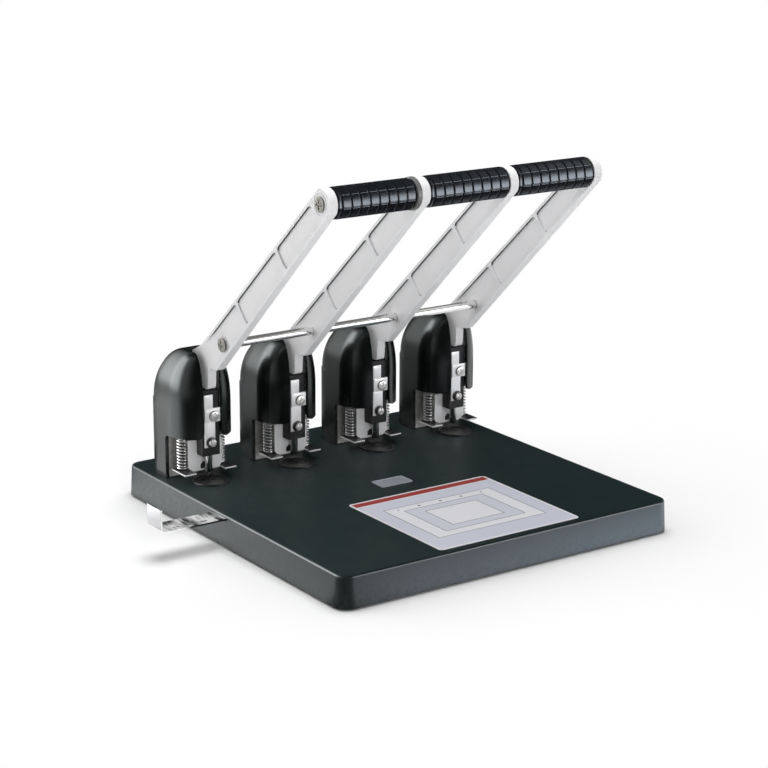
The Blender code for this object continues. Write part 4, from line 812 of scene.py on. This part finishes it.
def makeArm(spot):
    hub, foot = np.array(arm["hub"]), (np.array(arm["corner"]) + arm["chin"]) / 2
    along = (foot - hub) / np.linalg.norm(foot - hub)
    across = np.array([-along[1], along[0]])
    heading = math.degrees(math.atan2(across[1], across[0]))
    lean = math.degrees(math.acos(arm["backTop"] / arm["hubRadius"]))
    turn = math.degrees(math.acos(arm["frontTop"] / arm["hubRadius"]))
    outline = np.concatenate([arcPoints(hub, arm["hubRadius"], heading + 180 - turn, heading + lean, 24),
                              [arm["corner"], arm["tail"]], arcPoints(arm["pivot"], arm["tailRadius"], 25, -100, 14),
                              arcPoints(arm["nose"], arm["noseRadius"], -75, -180, 10), [arm["bend"], arm["chin"]]])
    end = (foot - hub) @ along - arm["panelStop"]
    full = (arm["corner"] - hub) @ along
    growBack = (arm["corner"] - hub) @ across - arm["backTop"]
    growFront = (hub - arm["chin"]) @ across - arm["frontTop"]
    start = arm["panelStart"]
    cuts = [start, *[start + (end - start) * share for share in arm["ribShares"]], end]
    cutters = []
    for low, high in zip(cuts, cuts[1:]):
        low, high = low + arm["rib"] / 2 * (low != cuts[0]), high - arm["rib"] / 2 * (high != cuts[-1])
        corners = [hub + along * at + across * (arm["backTop"] + growBack * at / full - arm["margin"])
                   for at in (low, high)]
        corners += [hub + along * at - across * (arm["frontTop"] + growFront * at / full - arm["margin"])
                    for at in (high, low)]
        # the line starts and ends half way along one side, so that all four corners get rounded
        middle = (corners[0] + corners[-1]) / 2
        line = roundCorners([middle, *corners, middle], arm["panelRound"], 5)[:-1]
        deep = pulledIn(line, arm["panelSlope"])
        if high == cuts[-1]:
            deep[(deep - hub) @ along > high - arm["panelRound"] * 1.3] -= along * arm["ramp"]
        for side in (-1, 1):
            face = side * arm["half"]
            cutter = meshOf("panel", stacked([(face + side * arm["past"], line), (face, line),
                                              (face - side * arm["panelDepth"], deep)]), 0, spot)
            # painted shade: long walls take the dark finish and cross walls the grey one
            for wall in range(len(line), 2 * len(line)):
                out = np.array(cutter.polygons[wall].normal)[1:]
                if abs(out[0]) + abs(out[1]) > 0.9:
                    cutter.polygons[wall].material_index = 1 if abs(out @ across) > abs(out @ along) else 2
            cutters.append(cutter)
    for place, radius in arm["bores"]:
        half = arm["boreHalf"]
        bore = turned([(0, -half), (radius, -half), (radius, half), (0, half)], (0, *place), "X", 32)
        cutters.append(meshOf("armBore", bore, 0, spot))
    inner, outer = arm["hubGroove"]
    for side in (-1, 1):
        near, far = side * (arm["half"] - arm["grooveDepth"]), side * (arm["half"] + arm["past"])
        ring = turned([(inner, near), (outer, near), (outer, far), (inner, far), (inner, near)], (0, *arm["hub"]), "X",
                      48, capped=False)
        cutter = meshOf("hubGroove", ring, 0, spot)
        # painted shade: the hub groove's walls take the grey shade finish
        cutter.polygons.foreach_set("material_index", np.full(len(cutter.polygons), 2, np.int32))
        cutters.append(cutter)
    plate = meshOf("armPlate", stacked([(-arm["half"], outline), (arm["half"], outline)]), 0, spot)
    for part in [plate, *cutters]:
        for which in ("castSilver", "castPaintedShade", "castRibPaintedShade"):
            part.materials.append(finish[which])
    return shadeSmooth(carved(plate, cutters), 0)


for n in headNumbers:
    piece = addPiece("armCasting_%d" % n, makeArm(headPlace[n]), "castSilver", "lever", ["arm_%d" % n])
    softEdges(piece, arm["edge"], 3, 28.0)
print("arms are made")

# Punch pins: hollow, with a ground cutting edge
pin = {"boreShare": 0.7, "cut": 0.0004, "boreDepth": 0.018, "round": 0.00015}
for n in headNumbers:
    name = "punchPin_%d" % n
    low, high, middle = boxOf("pin_%d" % n)
    r = (high.x - low.x) / 2
    bore, deep = r * pin["boreShare"], low.z + pin["boreDepth"]
    line = [(0, high.z), (r, high.z), (r, low.z), (bore, low.z + pin["cut"]), (bore, deep), (0, deep)]
    mesh = meshOf(name, turned(roundCorners(line, pin["round"], 2), (middle.x, middle.y, 0), steps=40), 40)
    addPiece(name, mesh, "punchSteel", "ram_%d" % n, ["pin_%d" % n])

# Clamps: a folded strip, a block with a cross screw and a round bolt below
# screw and bolt: x, z, radius, height of the rim and of the dome over it
clamp = {"left": 0.0066, "blockRight": 0.0070, "stripRight": 0.0030, "topRight": 0.0012, "face": -0.0011,
         "thick": 0.0012, "blockThick": 0.0022, "top": 0.0713, "blockTop": 0.0603, "blockLow": 0.0492, "low": 0.0285,
         "screw": (0.0011, 0.0541, 0.0041, 0.0017, 0.0004), "bolt": (-0.0010, 0.0327, 0.0033, 0.0038, 0.0004),
         "washer": (0.0044, 0.0010), "lap": 0.001, "edge": 0.0003, "blockEdge": 0.0004, "into": 0.0001,
         "cross": {"reach": 0.0029, "half": 0.00062, "depth": 0.0009, "slope": 0.0002},
         "boltCross": {"reach": 0.0022, "half": 0.00055, "depth": 0.0012, "slope": 0.0002},
         "boltRoot": 0.0012, "headRoot": 0.0004, "wallSpare": 0.0002, "washerSpare": 0.0001, "washerDark": 0.0009}


def makeClamp():
    left, lap, face, front = clamp["left"], clamp["lap"], clamp["face"], clamp["face"] - clamp["thick"]
    block = face - clamp["blockThick"]
    parts = [softBox((-left, front, clamp["blockTop"] - lap), (clamp["topRight"], face, clamp["top"]), clamp["edge"]),
             softBox((-left, front, clamp["low"]), (clamp["stripRight"], face, clamp["blockLow"] + lap), clamp["edge"]),
             softBox((-left, block, clamp["blockLow"]), (clamp["blockRight"], face, clamp["blockTop"]),
                     clamp["blockEdge"])]
    for head, seat, cross in (("screw", block, "cross"), ("bolt", front, "boltCross")):
        x, z, radius, rim, dome = clamp[head]
        parts.append(screwHead((x, seat + clamp["into"], z), (0, -1, 0), radius, rim, dome, clamp[cross]))
    wide, thick = clamp["washer"]
    line = [(0, front), (wide, front), (wide, front - thick), (0, front - thick)]
    boltX, boltZ = clamp["bolt"][:2]
    parts.append(turned(roundCorners(line, clamp["edge"], 2), (boltX, 0, boltZ), "Y", 48))
    return together(*parts)


# painted shade: side walls of the heads and the washer's front are painted dark, the heads' fronts are steel
def paintClamp(mesh, spot):
    def away(head, middle):
        return np.hypot(middle[:, 0] - spot[0] - clamp[head][0], middle[:, 2] - spot[2] - clamp[head][1])

    mesh.materials.append(finish["zincPlate"])
    for head in ("screw", "bolt"):
        faceFinish(mesh, finish["paintedShadeSteel"], lambda normal, middle: (abs(normal[:, 1]) < 0.3) & (
            abs(away(head, middle) - clamp[head][2]) < clamp["wallSpare"]))
    wide, thick = clamp["washer"]
    washerFront = spot[1] + clamp["face"] - clamp["thick"] - thick
    faceFinish(mesh, finish["paintedShadeSteel"], lambda normal, middle: (
        abs(middle[:, 1] - washerFront) < clamp["washerDark"]) & (away("bolt", middle) < wide + clamp["washerSpare"]))
    for head, high in (("screw", clamp["blockThick"]), ("bolt", clamp["thick"] + clamp["boltRoot"])):
        root = spot[1] + clamp["face"] - high - clamp["headRoot"]
        faceFinish(mesh, finish["screwSteel"], lambda normal, middle: (normal[:, 1] < -0.3) & (middle[:, 1] < root) & (
            away(head, middle) < clamp[head][2]))


for n in headNumbers:
    name = "clampSet_%d" % n
    mesh = meshOf(name, makeClamp(), shift=headPlace[n])
    paintClamp(mesh, headPlace[n])
    addPiece(name, mesh, "zincPlate", "ram_%d" % n, ["clamp_%d" % n])

# Springs: a round wire along a helix, its last turns lying flat
spring = {"radius": 0.0039, "wire": 0.00065, "turns": 10.8, "flatTurns": 0.9, "flatPitch": 2.08, "perTurn": 32,
          "sides": 10}


# path = (R cos a, R sin a, z(-a)); the skin adds wire * (radial * cos b + binormal * sin b)
def coil(centreX, centreY, low, high):
    turns, flat, wire = spring["turns"], spring["flatTurns"], spring["wire"]
    share = np.linspace(0, turns, int(turns * spring["perTurn"]) + 1)
    closedRise = wire * spring["flatPitch"] * flat
    start, end = low + wire, high - wire
    z = np.interp(share, [0, flat, turns - flat, turns], [start, start + closedRise, end - closedRise, end])
    angle = -2 * np.pi * share
    radial = np.stack([np.cos(angle), np.sin(angle), 0 * angle], -1)
    centre = np.array([centreX, centreY, 0]) + spring["radius"] * radial + np.stack([0 * z, 0 * z, z], -1)
    tangent = np.gradient(centre, axis=0)
    tangent /= np.linalg.norm(tangent, axis=1)[:, None]
    binormal = np.cross(tangent, radial)
    around = fullTurn(spring["sides"])[:, None]
    return skin(centre[:, None] + wire * (radial[:, None] * np.cos(around) + binormal[:, None] * np.sin(around)))


for n in headNumbers:
    for word in ("left", "right"):
        node, name = "spring_%s_%d" % (word, n), "springCoil_%s_%d" % (word, n)
        low, high, middle = boxOf(node)
        mesh = meshOf(name, coil(middle.x, middle.y, low.z, high.z), 60)
        piece = addPiece(name, mesh, "springWire", "base", [node])
        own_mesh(piece)
print("pins, clamps and springs are made")

# Handle bar and link rod, each with a cross screw at both ends
bars = {"screw": 0.0056, "rim": 0.0007, "dome": 0.0007,
        "cross": {"reach": 0.0035, "half": 0.00065, "depth": 0.0008, "slope": 0.0002}}


def makeBar(node, name, radius, which):
    low, high, middle = boxOf(node)
    thick = bars["rim"] + bars["dome"]
    left, right = low.x + thick, high.x - thick
    rod = turned([(0, left), (radius, left), (radius, right), (0, right)], (0, middle.y, middle.z), "X", 40)
    heads = [screwHead((place, middle.y, middle.z), (side, 0, 0), bars["screw"], bars["rim"], bars["dome"],
                       bars["cross"]) for place, side in ((left, -1), (right, 1))]
    addPiece(name, meshOf(name, rod), which, "lever", [node])
    mesh = meshOf(name + "Screws", together(*heads))
    mesh.materials.append(finish["dullScrew"])
    # painted shade: the screw heads' side walls take the dark steel
    faceFinish(mesh, finish["paintedShadeSteel"], lambda normal, middle: abs(normal[:, 0]) < 0.3)
    addPiece(name + "Screws", mesh, "dullScrew", "lever", [node])


makeBar("handle_bar", "gripBar", 0.0050, "groundSteel")
makeBar("link_rod", "linkBar", 0.0034, "brightChrome")

# Grips: a sleeve whose skin is eight flattened rows of raised blocks
grip = {"radius": 0.0122, "bore": 0.0053, "edge": 0.0012, "rows": 8, "startDegrees": 10.0, "flat": 0.55,
        "groove": 0.00075, "grooveHalf": 0.00045, "cornerRound": 0.0009, "slope": 0.0005, "blockPitch": 0.0081,
        "bandLeft": 0.0036, "bandRight": 0.0012, "stepLeft": 0.0004, "stepRight": 0.0002, "bandSunk": 0.35,
        "perSector": 26, "perBlock": 22, "ringRound": 0.0006}


# radius = mix of a circle and an eight-sided bar, less the groove where no block stands
def makeGripSkin(left, right, y, z):
    sector = 2 * np.pi / grip["rows"]
    turn = fullTurn(grip["rows"] * grip["perSector"])
    inSector = (turn + math.radians(grip["startDegrees"])) % sector - sector / 2
    flatRadius = grip["radius"] * math.cos(sector / 2) / np.cos(inSector)
    ideal = grip["radius"] * (1 - grip["flat"]) + grip["flat"] * flatRadius
    blockLeft, blockRight = left + grip["bandLeft"], right - grip["bandRight"]
    count = max(1, round((blockRight - blockLeft) / grip["blockPitch"]))
    pitch = (blockRight - blockLeft) / count
    bend = np.linspace(0, np.pi / 2, 5)
    x = np.concatenate([left + grip["edge"] * (1 - np.cos(bend)), [blockLeft - grip["stepLeft"]],
                        np.linspace(blockLeft, blockRight, count * grip["perBlock"] + 1),
                        [blockRight + grip["stepRight"]], right - grip["edge"] * (1 - np.cos(bend[::-1]))])
    endDrop = grip["edge"] * (1 - np.sin(bend))
    drop = np.concatenate([endDrop, np.zeros(len(x) - 2 * len(bend)), endDrop[::-1]])
    inBlock = (x - blockLeft) % pitch - pitch / 2
    wide, high = pitch / 2 - grip["grooveHalf"], sector / 2 * grip["radius"] - grip["grooveHalf"]
    r = grip["cornerRound"]
    a = np.abs(inBlock)[:, None] - wide + r
    b = np.abs(inSector * grip["radius"])[None, :] - high + r
    away = np.hypot(np.maximum(a, 0), np.maximum(b, 0)) + np.minimum(np.maximum(a, b), 0) - r
    block = np.clip(0.5 - away / grip["slope"], 0, 1)
    block = block * block * (3 - 2 * block)
    plain = ((x < blockLeft) | (x > blockRight))[:, None]
    lowered = np.where(plain, grip["groove"] * grip["bandSunk"], grip["groove"] * (1 - block))
    bore = np.full((1, len(turn)), grip["bore"])
    radius = np.concatenate([bore, ideal[None, :] - lowered - drop[:, None], bore, bore])
    x = np.concatenate([[left], x, [right], [left]])
    return skin(np.stack([x[:, None] + 0 * turn, y - radius * np.cos(turn), z + radius * np.sin(turn)], -1),
                capped=False)


for n in (1, 2, 3):
    name = "gripSleeve_%d" % n
    low, high, middle = boxOf("grip_%d" % n)
    mesh = meshOf(name, makeGripSkin(low.x, high.x, middle.y, middle.z), 60)
    addPiece(name, mesh, "gripRubber", "lever", ["grip_%d" % n])

low, high, middle = boxOf("grip_collar")
inner, outer = grip["bore"], grip["radius"]
ring = roundCorners([(inner, low.x), (outer, low.x), (outer, high.x), (inner, high.x), (inner, low.x)],
                    grip["ringRound"], 4)
addPiece("gripRing", meshOf("gripRing", turned(ring, (0, middle.y, middle.z), "X", 72), 40), "collarPlastic", "lever",
         ["grip_collar"])
print("bars and grips are made")

# Floor, lamps, backdrop and camera
studio = {"floor": 0.95, "floorHalf": 4, "fadeFrom": 0.24, "fadeTo": 0.46, "fill": 0.22,
          "lamps": (("overhead", (0.12, 0.10, 1.60), (1.10, 1.10), 20.8),
                    ("backLeft", (-1.05, 1.15, 0.80), (1.2, 1.1), 8.0),
                    ("front", (-0.35, -1.6, 0.55), (1.0, 0.7), 7.5)),
          "aim": (0.0, 0.0, 0.08),
          # from and to in degrees from the front, turning right; distance, lowest and highest edge, brightness,
          # and the share of the card that each end's ramp takes; "cardTop" is the share of the ramp at its top
          "cardTop": 0.25,
          "cards": ((-80.0, 78.0, 1.10, 0.0, 1.6, 0.02, 0.16, 0.16), (92.0, 182.0, 1.10, 0.02, 1.7, 0.02, 0.16, 0.16),
                    (-185.0, -95.0, 1.05, 0.03, 1.1, 8.6, 0.6, 0.12), (8.0, 62.0, 1.05, 0.02, 0.50, 8.0, 0.16, 0.16)),
          # from and to in degrees, reach on the floor from the base's front left corner, how far inside it, height,
          # shares of the ramps at its ends and its rim, brightness
          "cornerCard": (-132.0, 22.0, 0.14, 0.012, 0.0004, 0.06, 0.3, 0.005),
          # lying sheets: lowest and highest x and y, height, colour, widths of the left, right, front and back ramps
          "sheets": {"brightSheet": (-0.62, -0.130, -0.20, 0.62, 0.0002, (1.60, 1.60, 1.62), (0.1, 0, 0.35, 0)),
                     "darkSheet": (-0.70, -0.175, -0.90, 0.07, 0.0003, 0.02, (0, 0.045, 0, 0.05)),
                     "behindSheet": (-0.28, 0.45, 0.165, 0.32, 0.00045, 0.02, (0, 0, 0.02, 0.05)),
                     "edgeSheet": (-0.62, -0.21, 0.09, 0.46, 0.0006, 2.7, (0, 0.05, 0.02, 0.04)),
                     "frontSheet": (-0.10, 0.55, -0.255, -0.162, 0.0004, (2.3, 2.6, 3.1), (0.05, 0, 0.03, 0)),
                     "deepSheet": (-0.40, 0.90, -1.00, -0.260, 0.0005, 0.02, (0.06, 0, 0, 0.05)),
                     "gripSheet": (-0.25, 0.50, -0.40, -0.07, 0.155, 0.02, (0.06, 0, 0, 0.05)),
                     "ceilingSheet": (-1.2, 1.2, -1.2, 1.2, 1.75, 0.05, (0.06, 0, 0, 0.05))},
          # the bright sheet's far half starts at this x or this y, each with the width of its ramp
          "brightReach": (-0.26, 0.06, 0.06, 0.05),
          # a slanting end keeps the sheet behind off the first head: its lean, a point in y and x, width of its ramp
          "slant": (0.70, 0.08, -0.075, 0.04),
          # least cover of the front sheet, and the width over which it grows from left to right
          "frontGrowth": (0.35, 0.42),
          # standing dark card behind heads two to four: lowest and highest x, y, height, most cover, widths of the left
          # and top ramps, brightness
          "backCard": (-0.30, 0.45, 0.30, 0.60, 0.72, 0.25, 0.2, 0.02)}


def emptyTree(owner):
    owner.use_nodes = True
    owner.node_tree.nodes.clear()
    return owner.node_tree


# 1 for what the camera sees itself, in a shiny surface or through a clear one
def seenAsIs(tree):
    light = addNode(tree, "LightPath").outputs
    return maths(tree, "MAXIMUM", maths(tree, "MAXIMUM", light["Is Camera Ray"], light["Is Glossy Ray"]),
                 light["Is Transmission Ray"])


# pale paint near the object, turning to plain white further out for whatever sees it directly
def makeFloor():
    mesh = bpy.data.meshes.new("floor")
    s = studio["floorHalf"]
    mesh.from_pydata([(-s, -s, 0), (s, -s, 0), (s, s, 0), (-s, s, 0)], [], [(0, 1, 2, 3)])
    material = bpy.data.materials.new("floorPaint")
    tree = emptyTree(material)
    away = addNode(tree, "VectorMath", {0: objectPlace(tree)}, operation="LENGTH").outputs["Value"]
    fade = ramp(tree, away, studio["fadeFrom"], studio["fadeTo"], interpolation_type="SMOOTHSTEP")
    paint = addNode(tree, "BsdfDiffuse", {"Color": rgba(studio["floor"])}).outputs[0]
    white = addNode(tree, "Emission", {"Color": rgba(1), "Strength": 1.0}).outputs[0]
    mixed = addNode(tree, "MixShader", {0: maths(tree, "MULTIPLY", fade, seenAsIs(tree)), 1: paint, 2: white})
    addNode(tree, "OutputMaterial", {"Surface": mixed.outputs[0]})
    mesh.materials.append(material)
    newObject("floor", mesh)


def makeWorld():
    scene.world = bpy.data.worlds.new("backdrop")
    tree = emptyTree(scene.world)
    strength = ramp(tree, seenAsIs(tree), 0.0, 1.0, studio["fill"], 1.0)
    back = addNode(tree, "Background", {"Color": rgba(1), "Strength": strength}).outputs[0]
    addNode(tree, "OutputWorld", {"Surface": back})


# dark and bright cards on a curve round the object, and sheets that lie flat, seen only in shiny surfaces
def makeCards():
    material = bpy.data.materials.new("cardCloth")
    tree = emptyTree(material)
    cover = addNode(tree, "Attribute", attribute_name="cover").outputs["Fac"]
    shade = addNode(tree, "Attribute", attribute_name="shade").outputs["Vector"]
    glow = addNode(tree, "Emission", {"Color": shade, "Strength": 1.0}).outputs[0]
    clear = addNode(tree, "BsdfTransparent").outputs[0]
    mixed = addNode(tree, "MixShader", {0: cover, 1: clear, 2: glow}).outputs[0]
    addNode(tree, "OutputMaterial", {"Surface": mixed})

    def placeCard(name, x, y, z, cover, shade):
        mesh = bpy.data.meshes.new(name)
        spots, quads = skin(np.stack(np.broadcast_arrays(x, y, z), -1), closed=False, capped=False)
        mesh.from_pydata(spots.tolist(), [], quads)
        mesh.attributes.new("cover", "FLOAT", "POINT").data.foreach_set("value", cover.astype(np.float32).ravel())
        shades = np.tile(np.array(rgba(shade)[:3], np.float32), cover.size)
        mesh.attributes.new("shade", "FLOAT_VECTOR", "POINT").data.foreach_set("vector", shades)
        mesh.materials.append(material)
        card = newObject(name, mesh)
        card.visible_camera = card.visible_diffuse = card.visible_shadow = card.visible_transmission = False

    def rise(distance, width):
        return np.clip(distance / width, 0, 1)

    def shares(steps):
        return np.linspace(0, 1, steps), np.linspace(1, 0, steps)

    for number, (start, end, distance, low, high, grey, first, last) in enumerate(studio["cards"]):
        turn, height = np.radians(np.linspace(start, end, 41)), np.linspace(low, high, 17)[:, None]
        fromStart, fromEnd = shares(41)
        cover = rise(np.minimum(fromStart / first, fromEnd / last), 1) * rise(shares(17)[1][:, None], studio["cardTop"])
        placeCard("card_%d" % number, distance * np.sin(turn), -distance * np.cos(turn), height, cover, grey)
    start, end, reach, inside, height, ends, rim, grey = studio["cornerCard"]
    low = boxOf("base_shell")[0]
    turn, away = np.radians(np.linspace(start, end, 31)), np.linspace(0.0, reach, 15)[:, None]
    cover = rise(np.minimum(*shares(31)), ends) * rise(shares(15)[1][:, None], rim)
    placeCard("cornerCard", low.x + inside + away * np.sin(turn), low.y + inside - away * np.cos(turn), height, cover,
              grey)

    for name, (left, right, front, back, height, shade, widths) in studio["sheets"].items():
        x, y = np.linspace(left, right, 41)[None, :], np.linspace(front, back, 41)[:, None]
        cover = np.ones((41, 41))
        for distance, width in zip((x - left, right - x, y - front, back - y), widths):
            if width:
                cover = cover * rise(distance, width)
        if name == "brightSheet":
            fromX, widthX, fromY, widthY = studio["brightReach"]
            cover *= np.maximum(rise(x - fromX, widthX), rise(y - fromY, widthY))
        elif name == "behindSheet":
            lean, fromY, fromX, width = studio["slant"]
            cover *= rise(x - fromX + lean * (y - fromY), width)
        elif name == "frontSheet":
            least, width = studio["frontGrowth"]
            cover *= rise(least + (x - left) / width, 1)
        placeCard(name, x, y, height, cover, shade)
    left, right, y, top, most, growth, fall, grey = studio["backCard"]
    x, z = np.linspace(left, right, 25)[None, :], np.linspace(0.0, top, 17)[:, None]
    placeCard("backCard", x, y, z, np.minimum(rise(x - left, growth), most) * rise(top - z, fall), grey)


def makeLamps():
    for name, place, size, power in studio["lamps"]:
        lamp = bpy.data.lights.new(name, "AREA")
        lamp.shape = "RECTANGLE"
        lamp.size, lamp.size_y = size
        lamp.energy = power
        thing = newObject(name, lamp)
        thing.location = place
        thing.visible_glossy = False  # the cards are what shiny surfaces show
        thing.rotation_mode = "QUATERNION"
        thing.rotation_quaternion = (Vector(studio["aim"]) - Vector(place)).to_track_quat("-Z", "Y")


view = {"azimuth": -34.785, "elevation": 15.719, "roll": 0.316, "lens": 100.82,
        "place": (-0.902038, -1.326105, 0.561493)}


def makeCamera():
    lens = bpy.data.cameras.new("camera")
    lens.lens = view["lens"]
    lens.sensor_width = 36.0
    lens.clip_end = 50.0
    camera = newObject("camera", lens)
    a, e = math.radians(view["azimuth"]), math.radians(view["elevation"])
    back = Vector((math.sin(a) * math.cos(e), -math.cos(a) * math.cos(e), math.sin(e)))
    camera.location = view["place"]
    camera.rotation_mode = "QUATERNION"
    camera.rotation_quaternion = (-back).to_track_quat("-Z", "Y") @ Quaternion((0, 0, 1), math.radians(view["roll"]))
    scene.camera = camera


makeFloor()
makeWorld()
makeCards()
makeLamps()
makeCamera()
scene.view_settings.view_transform = "Standard"

print("floor, lamps and camera are set")
